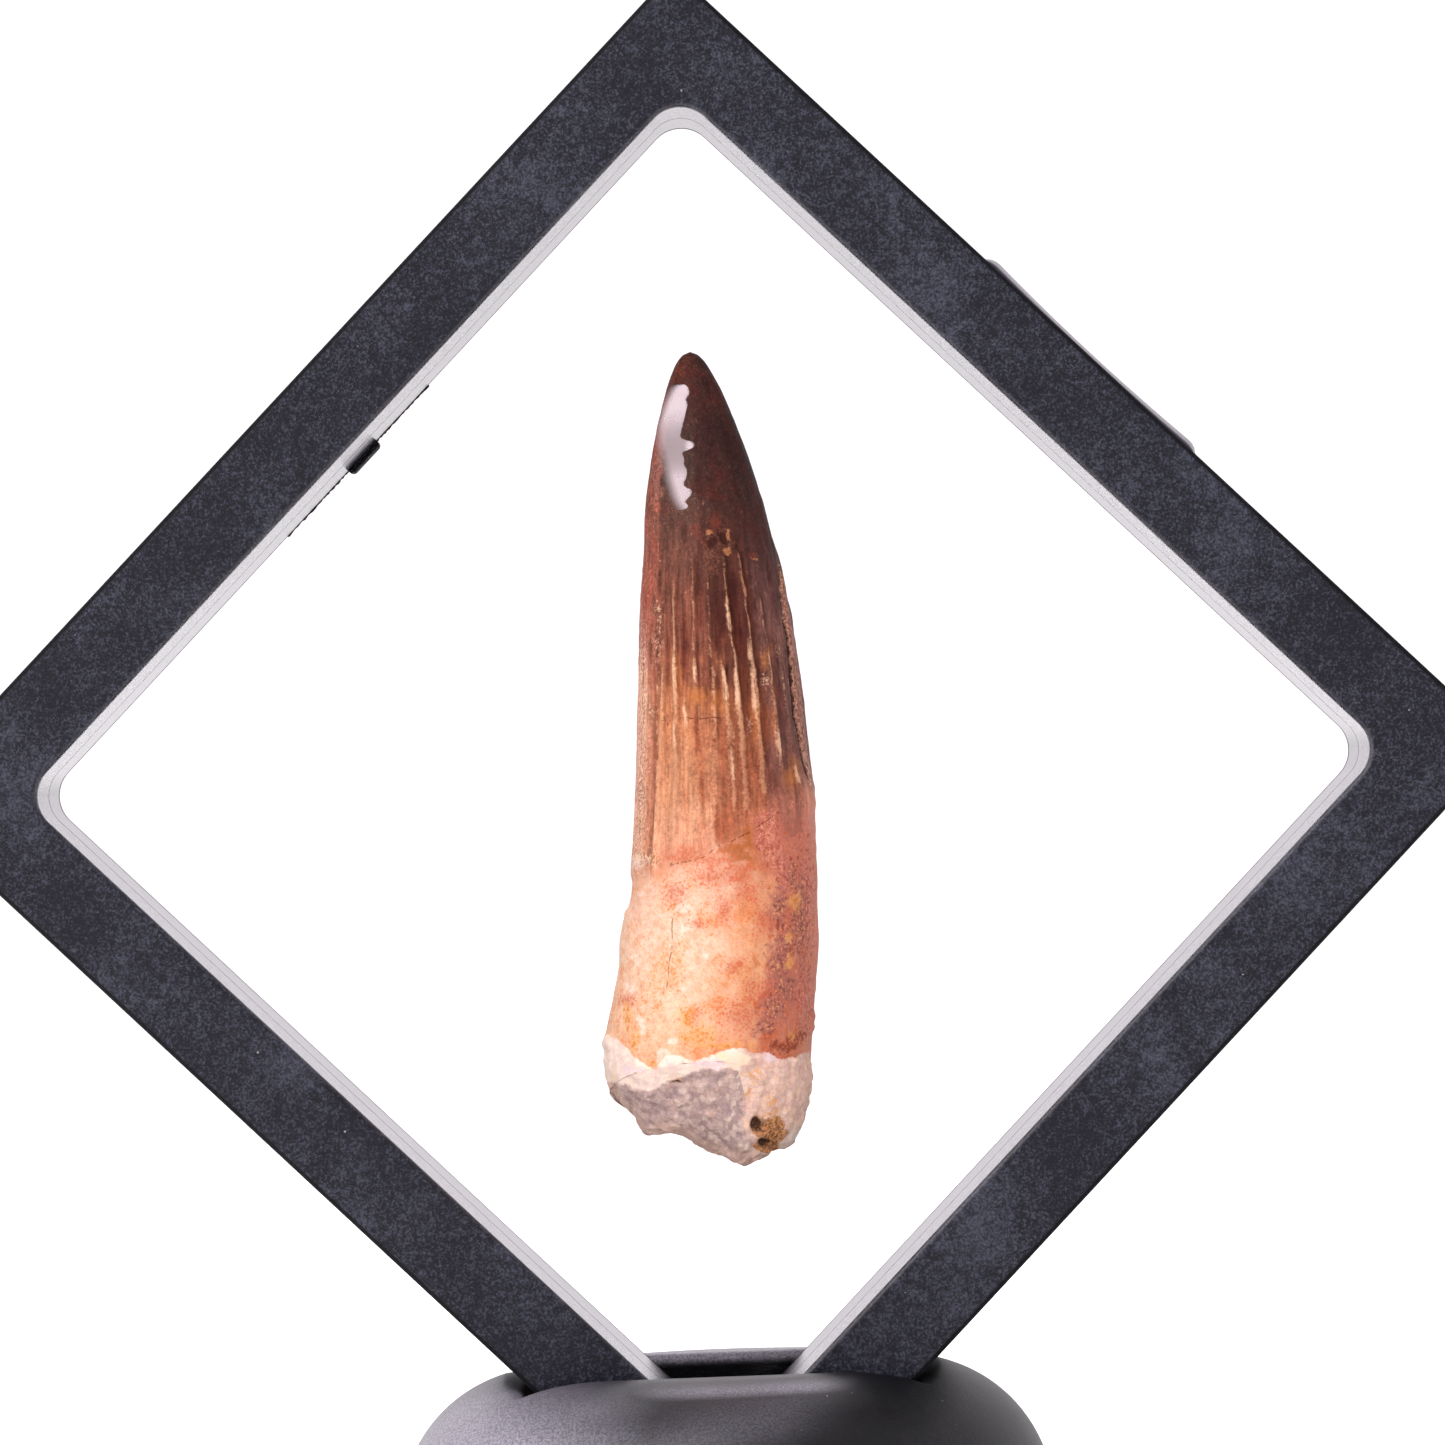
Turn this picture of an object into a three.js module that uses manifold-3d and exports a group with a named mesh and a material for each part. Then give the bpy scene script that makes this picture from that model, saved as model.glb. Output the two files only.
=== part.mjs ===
// Framed spinosaurus tooth: a fossil tooth held between two clear films in a square frame of two
// halves, which stands on its corner in the slot of a domed stand.
// Millimetres, +Z up, +Y away from the viewer, origin under the middle of the stand.
import * as THREE from 'three';
import { mergeVertices } from 'three/addons/utils/BufferGeometryUtils.js';
import Module from 'manifold-3d';

const wasm = await Module();
wasm.setup();

// Frame
const frameSide = 90;
const frameDepth = 20;
const barWidth = 6.9;
const outerCornerRadius = 2.5;
const innerCornerRadius = 2.8;
const cornerSteps = 5;
const edgeBevel = 0.5;
const bevelShoulder = 0.15;
const partingGap = 0.3;
const rebateDepth = 0.7;
const rebateWidth = 2;

// Latch lip on the upper right outer side, and the gate tab on the upper left inner wall
const latchLength = 24;
const latchDepth = 5;
const latchProud = 1.25;
const latchHollow = 0.55;
const latchEndSteps = 6;
const tabWidth = 3.8;
const tabDepth = 3.4;
const tabProud = 0.95;
const tabCornerCut = 0.35;
const tabBehindParting = 3.2;
const rootOverlap = 0.8;

// Films
const filmThickness = 0.3;
const filmSpacing = 0.4;
const filmEdgeGap = 0.35;
const filmClearance = 0.45;
const spokesPerSide = 10;
const fanSpokes = 5;

// Stand
const standHeight = 18;
const standRadius = 26;
const plateauRadius = 15;
const widestHeight = 6.5;
const footRadius = 22.5;
const domeSteps = 8;
const footSteps = 4;
const standSegments = 48;
const slotHalfWidth = 11.5;
const slotFootHalfWidth = 10.4;
const slotSideGap = 0.3;
const slotRimFlare = 0.7;
const slotRimDrop = 1.4;
const slotFloor = 2.65;
const slotCornerSteps = 4;
const cutOverrun = 2;

// Tooth: its silhouette as height above the frame's centre against the left and right edge
const toothTip = 33.9;
const toothTipX = 0.16;
const leftEdgePoints = [
  [33.9, 0.16], [33.6, -0.5], [32.6, -1.2], [30, -2.15], [26, -3.15], [20, -4], [13, -4.65],
  [5, -5.1], [-3, -5.8], [-9, -6.3], [-10.8, -7], [-15, -7.45], [-20, -8.6], [-24, -9],
  [-26.5, -8.2], [-32, -7],
];
const rightEdgePoints = [
  [33.9, 0.16], [33.6, 0.8], [32.6, 1.6], [30, 2.85], [26, 4.3], [20, 5.95], [13, 7.4],
  [5, 8.45], [-3, 8.9], [-9.5, 9.15], [-15, 8.85], [-20, 8.5], [-24, 8.1], [-32, 7.6],
];
const depthToWidth = 0.44;
const greatestHalfDepth = 6.8;
const fluteCount = 26;
const fluteHeight = 0.2;
const fluteTop = 25;
const fluteFullTop = 18;
const fluteFullBottom = 2;
const fluteBottom = -8;
const carinaHeight = 0.22;
const carinaTop = 30;
const carinaBottom = -6;
const pit = { x: 1.6, z: 18.8, radius: 1.1, depth: 0.45 };
const enamelEdge = -5.9;
const enamelSlope = 0.34;
const enamelSlopeReach = 5;
const enamelStep = 0.14;
const rootLump = 0.14;
const breakFront = -23;
const breakBack = -28.5;
const breakLump = 0.45;
const breakSteepness = { side: 12, front: 2.2 };
const bottomEdgePoints = [
  [-9, -25], [-7.6, -27.2], [-5.9, -29.1], [-2, -29.5], [0, -30.7], [1.9, -31.3], [4, -30.9],
  [6.4, -30.3], [7.5, -29.6], [8.4, -27.5],
];
const shaftLevels = [
  33.75, 33.3, 32.4, 31, 29, 27, 25, 22.5, 20.3, 19.4, 18.6, 17.6, 15, 12, 9, 6, 3, 0, -3, -5.2,
  -6.6, -8, -10, -12, -14, -16, -18, -20, -21.5,
];
const breakScales = [1, 0.985, 0.95, 0.89, 0.8, 0.68, 0.54, 0.38, 0.2];

// Colours and finishes
const black = { color: 0x25252c, roughness: 0.62, metalness: 0 };
const blackStand = { color: 0x222228, roughness: 0.68, metalness: 0 };
const clearFilm = { color: 0xf4f6f8, roughness: 0.06, metalness: 0, transparent: true, opacity: 0.18 };
const fossil = { color: 0x9a6a48, roughness: 0.45, metalness: 0 };

// Sizes that follow from those above
const halfSide = frameSide / 2;
const openingHalf = halfSide - barWidth;
const cornerReach = halfSide * Math.SQRT2 - outerCornerRadius * (Math.SQRT2 - 1);
const frameCentre = slotFloor + slotSideGap + cornerReach;
const toothColumns = fluteCount * 2;

function solidFrom(geometry) {
  const bare = new THREE.BufferGeometry();
  bare.setAttribute('position', geometry.getAttribute('position'));
  bare.setIndex(geometry.getIndex());
  const merged = mergeVertices(bare, 1e-4);
  const mesh = new wasm.Mesh({
    numProp: 3,
    vertProperties: new Float32Array(merged.getAttribute('position').array),
    triVerts: new Uint32Array(merged.getIndex().array),
  });
  return new wasm.Manifold(mesh);
}

function geometryFrom(solid) {
  const mesh = solid.getMesh();
  const geometry = new THREE.BufferGeometry();
  geometry.setAttribute('position', new THREE.BufferAttribute(mesh.vertProperties, mesh.numProp));
  geometry.setIndex(new THREE.BufferAttribute(mesh.triVerts, 1));
  geometry.computeVertexNormals();
  return geometry;
}

// A closed geometry from points and triangles, turned so that its faces point out
function closedGeometry(points, triangles) {
  let volume = 0;
  for (const [a, b, c] of triangles) {
    volume += points[a].dot(new THREE.Vector3().crossVectors(points[b], points[c]));
  }
  const order = volume > 0 ? [0, 1, 2] : [0, 2, 1];
  const geometry = new THREE.BufferGeometry().setFromPoints(points);
  geometry.setIndex(triangles.flatMap((triangle) => order.map((corner) => triangle[corner])));
  geometry.computeVertexNormals();
  return geometry;
}

// Skin over rings of equal length; a ring of one point closes that end, and a loop joins the last
// ring to the first
function skinRings(rings, isLoop) {
  const points = rings.flat();
  const starts = [];
  let count = 0;
  for (const ring of rings) {
    starts.push(count);
    count += ring.length;
  }
  const triangles = [];
  const last = isLoop ? rings.length : rings.length - 1;
  for (let row = 0; row < last; row += 1) {
    const next = (row + 1) % rings.length;
    const here = rings[row].length;
    const there = rings[next].length;
    for (let column = 0; column < Math.max(here, there); column += 1) {
      const a = starts[row] + (column % here);
      const b = starts[row] + ((column + 1) % here);
      const c = starts[next] + (column % there);
      const d = starts[next] + ((column + 1) % there);
      if (here > 1) triangles.push([a, b, c]);
      if (there > 1) triangles.push([b, d, c]);
    }
  }
  return closedGeometry(points, triangles);
}

// A smooth curve through [position, value] points, as a function of position
function curveThrough(points) {
  const sorted = [...points].sort((one, other) => one[0] - other[0]);
  const slopes = sorted.map((point, i) => {
    const before = sorted[Math.max(i - 1, 0)];
    const after = sorted[Math.min(i + 1, sorted.length - 1)];
    return (after[1] - before[1]) / (after[0] - before[0]);
  });
  return (position) => {
    let i = 0;
    while (i < sorted.length - 2 && position > sorted[i + 1][0]) i += 1;
    const span = sorted[i + 1][0] - sorted[i][0];
    const t = THREE.MathUtils.clamp((position - sorted[i][0]) / span, 0, 1);
    const rise = sorted[i + 1][1] - sorted[i][1];
    const early = slopes[i] * span - rise;
    const late = rise - slopes[i + 1] * span;
    return sorted[i][1] + rise * t + t * (1 - t) * ((1 - t) * early + t * late);
  };
}

// One level outline of the frame: a square with rounded corners
function roundedSquare(half, radius, y) {
  const ring = [];
  for (let corner = 0; corner < 4; corner += 1) {
    const signX = corner === 0 || corner === 3 ? 1 : -1;
    const signZ = corner < 2 ? 1 : -1;
    for (let step = 0; step <= cornerSteps; step += 1) {
      const angle = (corner + step / cornerSteps) * (Math.PI / 2);
      const x = signX * (half - radius) + radius * Math.cos(angle);
      const z = signZ * (half - radius) + radius * Math.sin(angle);
      ring.push(new THREE.Vector3(x, y, z));
    }
  }
  return ring;
}

// A frame half is its bar's section swept round the square; side is -1 in front and 1 behind
function frameHalf(side) {
  const face = side * (frameDepth / 2);
  const parting = side * (partingGap / 2);
  const outer = (inset, y) => roundedSquare(halfSide - inset, outerCornerRadius - inset, y);
  const inner = (outset, y) => roundedSquare(openingHalf + outset, innerCornerRadius + outset, y);
  const partingBevel = edgeBevel / 2;
  return skinRings([
    outer(0, parting + side * partingBevel),
    outer(0, face - side * edgeBevel),
    outer(bevelShoulder, face - side * bevelShoulder),
    outer(edgeBevel, face),
    inner(edgeBevel, face),
    inner(bevelShoulder, face - side * bevelShoulder),
    inner(0, face - side * edgeBevel),
    inner(0, parting + side * rebateDepth),
    inner(rebateWidth, parting + side * rebateDepth),
    inner(rebateWidth, parting),
    outer(partingBevel, parting),
  ], true);
}

// The latch lip: a finger rest with rounded ends that are a little prouder than its middle
function latchLip() {
  const shape = new THREE.Shape();
  const halfLength = latchLength / 2;
  const endRadius = latchProud;
  shape.moveTo(-halfLength, -rootOverlap);
  shape.lineTo(-halfLength, 0);
  shape.absarc(-halfLength + endRadius, 0, endRadius, Math.PI, Math.PI / 2, true);
  shape.quadraticCurveTo(0, latchProud * latchHollow, halfLength - endRadius, latchProud);
  shape.absarc(halfLength - endRadius, 0, endRadius, Math.PI / 2, 0, true);
  shape.lineTo(halfLength, -rootOverlap);
  const lip = new THREE.ExtrudeGeometry(shape, {
    depth: latchDepth, bevelEnabled: false, curveSegments: latchEndSteps,
  });
  lip.rotateX(Math.PI / 2);
  lip.translate(0, partingGap / 2 + latchDepth, halfSide);
  return lip;
}

// The gate tab left on the inner wall, with its corners cut
function gateTab() {
  const cut = tabCornerCut;
  const half = tabWidth / 2;
  const shape = new THREE.Shape();
  shape.moveTo(-half, rootOverlap);
  shape.lineTo(-half, -tabProud + cut);
  shape.lineTo(-half + cut, -tabProud);
  shape.lineTo(half - cut, -tabProud);
  shape.lineTo(half, -tabProud + cut);
  shape.lineTo(half, rootOverlap);
  const tab = new THREE.ExtrudeGeometry(shape, { depth: tabDepth, bevelEnabled: false });
  tab.rotateX(Math.PI / 2);
  tab.translate(0, tabBehindParting + tabDepth, openingHalf);
  tab.rotateY(-Math.PI / 2);
  return tab;
}

function rearHalf() {
  const ring = solidFrom(frameHalf(1));
  return geometryFrom(ring.add(solidFrom(latchLip())).add(solidFrom(gateTab())));
}

const leftEdge = curveThrough(leftEdgePoints);
const rightEdge = curveThrough(rightEdgePoints);
const bottomEdge = curveThrough(bottomEdgePoints);

function toothHalfWidth(z) {
  return (rightEdge(z) - leftEdge(z)) / 2;
}

function toothCentreX(z) {
  return (rightEdge(z) + leftEdge(z)) / 2;
}

function toothHalfDepth(z) {
  return Math.min(2 * depthToWidth * toothHalfWidth(z), greatestHalfDepth);
}

// Lumps from a few crossed waves, between -1 and 1
function lumps(x, y, z) {
  const slow = Math.sin(1.1 * x + 0.3 * z + 0.5) * Math.sin(0.9 * y - 0.4 * z + 1.3);
  const quick = Math.sin(1.9 * x - 1.3 * y + 0.4) * Math.sin(0.9 * z + 1.5 * y + 2.2);
  return 0.6 * slow + 0.4 * quick;
}

// The lower edge of the enamel climbs towards the right, so the levels near it lean with it
function leanOf(level) {
  return enamelSlope * Math.exp(-(((level - enamelEdge) / enamelSlopeReach) ** 2));
}

// How far the surface stands out of the smooth tooth at a column and level: the flutes are cut
// between crests that keep the outline, and beside the two carinae the furrows are deeper
function toothRelief(column, x, y, level) {
  const { smoothstep } = THREE.MathUtils;
  const fluteFade = smoothstep(level, fluteBottom, fluteFullBottom)
    * (1 - smoothstep(level, fluteFullTop, fluteTop));
  const isFurrow = column % 2 === 1;
  const fromCarina = Math.abs(((column + fluteCount / 2) % fluteCount) - fluteCount / 2);
  const carinaFade = smoothstep(level, carinaBottom, 0)
    * (1 - smoothstep(level, carinaTop - 3, carinaTop));
  const furrow = isFurrow ? 2 * fluteHeight * fluteFade : 0;
  const besideCarina = fromCarina === 1 ? carinaHeight * carinaFade : 0;
  const pitDistance = Math.hypot(x - pit.x, level - pit.z) / pit.radius;
  const chip = y < 0 ? pit.depth * Math.exp(-pitDistance * pitDistance) : 0;
  const isRoot = 1 - smoothstep(level, enamelEdge - 1.2, enamelEdge);
  return rootLump * isRoot * lumps(x, y, level) - furrow - besideCarina - chip - enamelStep * isRoot;
}

function toothPoint(column, scale, level) {
  const angle = (column / toothColumns) * Math.PI * 2;
  const halfWidth = toothHalfWidth(level) * scale;
  const halfDepth = toothHalfDepth(level) * scale;
  const x = toothCentreX(level) + halfWidth * Math.cos(angle);
  const y = halfDepth * Math.sin(angle);
  const relief = toothRelief(column, x, y, level) * Math.min(1, halfWidth / 2) * scale;
  const z = level + leanOf(level) * x;
  return new THREE.Vector3(x + relief * Math.cos(angle), y + relief * Math.sin(angle), z);
}

// The broken end leans back: its front lip is high and its lowest edge lies behind the middle
function breakPoint(column, scale) {
  const angle = (column / toothColumns) * Math.PI * 2;
  const front = (1 - Math.sin(angle)) / 2;
  const lip = THREE.MathUtils.lerp(breakBack, breakFront, front);
  const point = toothPoint(column, scale, lip);
  const steepness = THREE.MathUtils.lerp(breakSteepness.side, breakSteepness.front, front * front);
  const fall = 1 - scale ** steepness;
  point.z = THREE.MathUtils.lerp(lip, bottomEdge(point.x), fall);
  const lump = breakLump * lumps(1.6 * point.x, 1.6 * point.y, point.z) * Math.sqrt(fall);
  point.z += lump * front;
  point.y += lump * 0.6;
  return point;
}

function tooth() {
  const rings = [[new THREE.Vector3(toothTipX, 0, toothTip)]];
  const columns = Array.from({ length: toothColumns }, (_, column) => column);
  for (const level of shaftLevels) {
    rings.push(columns.map((column) => toothPoint(column, 1, level)));
  }
  for (const scale of breakScales) {
    rings.push(columns.map((column) => breakPoint(column, scale)));
  }
  const middle = toothCentreX(breakFront);
  rings.push([new THREE.Vector3(middle, 0, bottomEdge(middle))]);
  return skinRings(rings, false);
}

// Height of a taut film at a distance from the tooth's middle line: it lies on the tooth's oval
// as far as the point where the straight run to the frame touches it
function tautHeight(distance, reach, halfWidth, halfDepth) {
  const touch = (halfWidth * halfWidth) / reach;
  if (distance <= touch) return halfDepth * Math.sqrt(1 - (distance / halfWidth) ** 2);
  const touchHeight = halfDepth * Math.sqrt(1 - (halfWidth / reach) ** 2);
  return (touchHeight * (reach - distance)) / (reach - touch);
}

// A point on a square that stands on its corner, counted in spokes from the top
function diamondPoint(spoke, half) {
  const quarter = Math.floor(spoke / spokesPerSide) % 4;
  const part = (spoke % spokesPerSide) / spokesPerSide;
  const reach = half * Math.SQRT2;
  const corners = [[0, reach], [reach, 0], [0, -reach], [-reach, 0]];
  const from = corners[quarter];
  const to = corners[(quarter + 1) % 4];
  return new THREE.Vector2(THREE.MathUtils.lerp(from[0], to[0], part), THREE.MathUtils.lerp(from[1], to[1], part));
}

// A film is a thin closed tent of spokes that run from the tooth's middle line to the frame
function film(side) {
  const spokes = spokesPerSide * 4;
  const levels = spokesPerSide * 2 - fanSpokes * 2;
  const spineTop = openingHalf * Math.SQRT2 * (1 - fanSpokes / spokesPerSide);
  const levelOf = (spoke) => {
    const down = Math.min(spoke % spokes, spokes - (spoke % spokes));
    return THREE.MathUtils.clamp(down - fanSpokes, 0, levels);
  };
  const inner = [];
  const ringCount = 5;
  const pushPoint = (flat, height) => {
    inner.push(new THREE.Vector3(flat.x, side * (filmSpacing / 2 + height), flat.y));
  };
  const spine = [];
  for (let level = 0; level <= levels; level += 1) {
    const z = spineTop * (1 - (2 * level) / levels);
    spine.push(new THREE.Vector2(toothCentreX(z), z));
    pushPoint(spine[level], toothHalfDepth(z) + filmClearance);
  }
  for (let spoke = 0; spoke < spokes; spoke += 1) {
    const from = spine[levelOf(spoke)];
    const wall = diamondPoint(spoke, openingHalf - filmEdgeGap);
    const edge = diamondPoint(spoke, openingHalf + rebateWidth - filmEdgeGap);
    const cornerPull = spoke % spokesPerSide === 0 ? 0.97 : 1;
    wall.multiplyScalar(cornerPull);
    edge.multiplyScalar(cornerPull);
    const run = wall.clone().sub(from);
    const reach = run.length();
    const heading = run.clone().divideScalar(reach);
    const endDistance = from.y > 0 ? toothTip - from.y : from.y - bottomEdge(from.x);
    const width = toothHalfWidth(from.y);
    const isFan = Math.abs(from.y) >= spineTop - 1e-6;
    const outline = isFan ? 1 / Math.hypot(heading.x / width, heading.y / endDistance) : width;
    const halfWidth = outline + filmClearance;
    const halfDepth = toothHalfDepth(from.y) + filmClearance;
    const touch = (halfWidth * halfWidth) / reach;
    for (const distance of [touch * 0.5, touch, (touch + reach) / 2, reach]) {
      const flat = from.clone().addScaledVector(heading, distance);
      pushPoint(flat, tautHeight(distance, reach, halfWidth, halfDepth));
    }
    pushPoint(edge, 0);
  }
  const ringPoint = (spoke, ring) => spine.length + (spoke % spokes) * ringCount + ring;
  const triangles = [];
  for (let spoke = 0; spoke < spokes; spoke += 1) {
    const next = spoke + 1;
    const here = levelOf(spoke);
    const there = levelOf(next);
    triangles.push([here, ringPoint(spoke, 0), ringPoint(next, 0)]);
    if (here !== there) triangles.push([here, ringPoint(next, 0), there]);
    for (let ring = 0; ring < ringCount - 1; ring += 1) {
      triangles.push([ringPoint(spoke, ring), ringPoint(spoke, ring + 1), ringPoint(next, ring + 1)]);
      triangles.push([ringPoint(spoke, ring), ringPoint(next, ring + 1), ringPoint(next, ring)]);
    }
  }
  const outer = inner.map((point) => point.clone().setY(point.y + side * filmThickness));
  const count = inner.length;
  const closed = [...triangles];
  for (const [a, b, c] of triangles) closed.push([a + count, c + count, b + count]);
  for (let spoke = 0; spoke < spokes; spoke += 1) {
    const a = ringPoint(spoke, ringCount - 1);
    const b = ringPoint(spoke + 1, ringCount - 1);
    closed.push([b, a, a + count], [b, a + count, b + count]);
  }
  return closedGeometry([...inner, ...outer], closed);
}

// The stand is turned: a flat foot, a rounded side and a dome that ends in a small flat top
function standBody() {
  const profile = [new THREE.Vector2(0, 0)];
  for (let step = 0; step <= footSteps; step += 1) {
    const angle = (step / footSteps) * (Math.PI / 2);
    const radius = footRadius + (standRadius - footRadius) * Math.sin(angle);
    profile.push(new THREE.Vector2(radius, widestHeight * (1 - Math.cos(angle))));
  }
  for (let step = 1; step <= domeSteps; step += 1) {
    const angle = (step / domeSteps) * (Math.PI / 2);
    const radius = plateauRadius + (standRadius - plateauRadius) * Math.cos(angle);
    profile.push(new THREE.Vector2(radius, widestHeight + (standHeight - widestHeight) * Math.sin(angle)));
  }
  profile.push(new THREE.Vector2(0, standHeight));
  const body = new THREE.LatheGeometry(profile, standSegments);
  body.rotateX(Math.PI / 2);
  return body;
}

// The slot: a trench whose ends slope with the frame's lower sides down to its rounded corner,
// a little narrower at the bottom than at the rim
function slotCutter() {
  const apex = frameCentre - halfSide * Math.SQRT2 - slotSideGap * Math.SQRT2;
  const cornerRadius = outerCornerRadius + slotSideGap;
  const cornerCentre = apex + cornerRadius * Math.SQRT2;
  const flareStart = standHeight - slotRimDrop;
  const rim = flareStart - apex + slotRimFlare + slotRimDrop;
  const top = standHeight + cutOverrun;
  const shape = new THREE.Shape();
  shape.moveTo(-rim, top);
  shape.lineTo(-rim, standHeight);
  shape.lineTo(-(flareStart - apex), flareStart);
  for (let step = 0; step <= slotCornerSteps; step += 1) {
    const angle = Math.PI * (1.25 + (0.5 * step) / slotCornerSteps);
    shape.lineTo(cornerRadius * Math.cos(angle), cornerCentre + cornerRadius * Math.sin(angle));
  }
  shape.lineTo(flareStart - apex, flareStart);
  shape.lineTo(rim, standHeight);
  shape.lineTo(rim, top);
  const cutter = new THREE.ExtrudeGeometry(shape, { depth: 2, bevelEnabled: false });
  cutter.translate(0, 0, -1);
  cutter.rotateX(Math.PI / 2);
  const position = cutter.getAttribute('position');
  for (let i = 0; i < position.count; i += 1) {
    const rise = THREE.MathUtils.smoothstep(position.getZ(i), slotFloor, flareStart);
    const halfWidth = THREE.MathUtils.lerp(slotFootHalfWidth, slotHalfWidth, rise);
    position.setY(i, Math.sign(position.getY(i)) * halfWidth);
  }
  return cutter;
}

function stand() {
  return geometryFrom(solidFrom(standBody()).subtract(solidFrom(slotCutter())));
}

function named(name, geometry, finish) {
  const mesh = new THREE.Mesh(geometry, new THREE.MeshStandardMaterial(finish));
  mesh.name = name;
  return mesh;
}

// The frame's own group is centred on the opening; its two rings are turned on their corner
const frameGroup = new THREE.Group();
frameGroup.position.z = frameCentre;
const frontRing = named('front_frame_half', frameHalf(-1), black);
const rearRing = named('rear_frame_half', rearHalf(), black);
frontRing.rotation.y = Math.PI / 4;
rearRing.rotation.y = Math.PI / 4;
frameGroup.add(
  frontRing,
  rearRing,
  named('front_film', film(-1), clearFilm),
  named('rear_film', film(1), clearFilm),
  named('tooth', tooth(), fossil),
);

const framedTooth = new THREE.Group();
framedTooth.add(frameGroup, named('display_stand', stand(), blackStand));

export default framedTooth;
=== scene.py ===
import itertools
import math

import bmesh
import bpy
import numpy as np
from mathutils import Euler, Matrix, Vector


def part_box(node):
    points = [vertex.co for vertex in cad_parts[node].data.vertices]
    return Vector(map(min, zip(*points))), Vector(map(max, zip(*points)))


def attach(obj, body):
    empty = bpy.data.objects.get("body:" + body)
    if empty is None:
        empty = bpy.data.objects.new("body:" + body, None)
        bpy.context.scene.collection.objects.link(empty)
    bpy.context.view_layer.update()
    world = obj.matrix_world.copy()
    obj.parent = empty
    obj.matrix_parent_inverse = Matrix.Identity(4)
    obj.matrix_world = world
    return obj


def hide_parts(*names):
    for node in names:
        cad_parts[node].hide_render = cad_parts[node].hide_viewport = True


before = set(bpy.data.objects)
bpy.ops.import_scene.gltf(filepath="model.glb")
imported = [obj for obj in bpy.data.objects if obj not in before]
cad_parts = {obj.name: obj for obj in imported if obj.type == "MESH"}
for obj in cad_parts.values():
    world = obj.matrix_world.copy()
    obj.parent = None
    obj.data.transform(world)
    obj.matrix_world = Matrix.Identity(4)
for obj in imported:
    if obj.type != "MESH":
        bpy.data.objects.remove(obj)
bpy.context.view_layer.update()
print("frame loaded")

mm = 0.001                                  # the lengths below are millimetres
frameLow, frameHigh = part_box("front_frame_half")
frameCentre = (frameLow.z + frameHigh.z) / 2 / mm
frontFace = frameLow.y / mm
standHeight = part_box("display_stand")[1].z / mm


# numbers over arrays

def smoothStep(value, low, high):
    t = np.clip((value - low) / (high - low), 0, 1)
    return t * t * (3 - 2 * t)


def blend(low, high, share):
    return low + (high - low) * share


def curveThrough(points):
    # a smooth curve through (position, value) points, as a function of position
    places, values = np.array(sorted(points), float).T
    count = len(places)
    before = np.maximum(np.arange(count) - 1, 0)
    after = np.minimum(np.arange(count) + 1, count - 1)
    slopes = (values[after] - values[before]) / (places[after] - places[before])

    def valueAt(position):
        i = np.clip(np.searchsorted(places, position, side="left") - 1, 0, count - 2)
        span = places[i + 1] - places[i]
        t = np.clip((position - places[i]) / span, 0, 1)
        rise = values[i + 1] - values[i]
        early = slopes[i] * span - rise
        late = rise - slopes[i + 1] * span
        return values[i] + rise * t + t * (1 - t) * ((1 - t) * early + t * late)

    return valueAt


latticeSize = 32
lattice = np.random.default_rng(11).random((latticeSize,) * 3)
latticeShift = 7.31


def unevenness(points, size, seed=0):
    # smooth noise between -1 and 1 whose features are about size across
    place = points / size + seed * latticeShift
    cell = np.floor(place).astype(int)
    t = place - cell
    t = t * t * (3 - 2 * t)
    total = 0
    for corner in itertools.product((0, 1), repeat=3):
        index = (cell + corner) % latticeSize
        weight = np.prod(np.where(corner, t, 1 - t), axis=-1)
        total = total + lattice[index[..., 0], index[..., 1], index[..., 2]] * weight
    return 2 * total - 1


def roughness(points, size, seed=0, octaves=3):
    total, share = 0, 1
    for octave in range(octaves):
        total = total + share * unevenness(points, size / 2 ** octave, seed + octave)
        share /= 2
    return total


def grainsAt(points, size, seed=0):
    # distance to the nearest grain's middle, in grain sizes, and that grain's own number
    place = points / size + seed * latticeShift
    cell = np.floor(place).astype(int)
    nearest = np.full(points.shape[:-1], 9.0)
    number = np.zeros(points.shape[:-1])
    for step in itertools.product((-1, 0, 1), repeat=3):
        there = (cell + step) % latticeSize
        drawn = [lattice[(there[..., 0] + 5 * k) % latticeSize, there[..., 1],
                         (there[..., 2] + 3 * k) % latticeSize] for k in range(4)]
        middle = cell + step + np.stack(drawn[:3], -1)
        gap = np.linalg.norm(place - middle, axis=-1)
        number = np.where(gap < nearest, drawn[3], number)
        nearest = np.minimum(nearest, gap)
    return nearest, number


# meshes

def addPiece(name, points, faces, finish, node):
    mesh = bpy.data.meshes.new(name)
    mesh.from_pydata((np.asarray(points) * mm).tolist(), [], faces)
    mesh.polygons.foreach_set("use_smooth", [True] * len(mesh.polygons))
    mesh.materials.append(finish)
    piece = bpy.data.objects.new(name, mesh)
    bpy.context.scene.collection.objects.link(piece)
    if node:
        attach(piece, "root")
        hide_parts(node)
    return piece


def skinFaces(sizes, isLoop=False):
    # faces between rings of points; a ring of one point is a closed end
    starts = np.concatenate([[0], np.cumsum(sizes)])
    faces = []
    last = len(sizes) if isLoop else len(sizes) - 1
    for row in range(last):
        after = (row + 1) % len(sizes)
        here, there = sizes[row], sizes[after]
        column = np.arange(max(here, there))
        a = starts[row] + column % here
        b = starts[row] + (column + 1) % here
        c = starts[after] + (column + 1) % there
        d = starts[after] + column % there
        if here == 1:
            faces += np.stack([a, c, d], 1).tolist()
        elif there == 1:
            faces += np.stack([a, b, c], 1).tolist()
        else:
            faces += np.stack([a, b, c, d], 1).tolist()
    return faces


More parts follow.
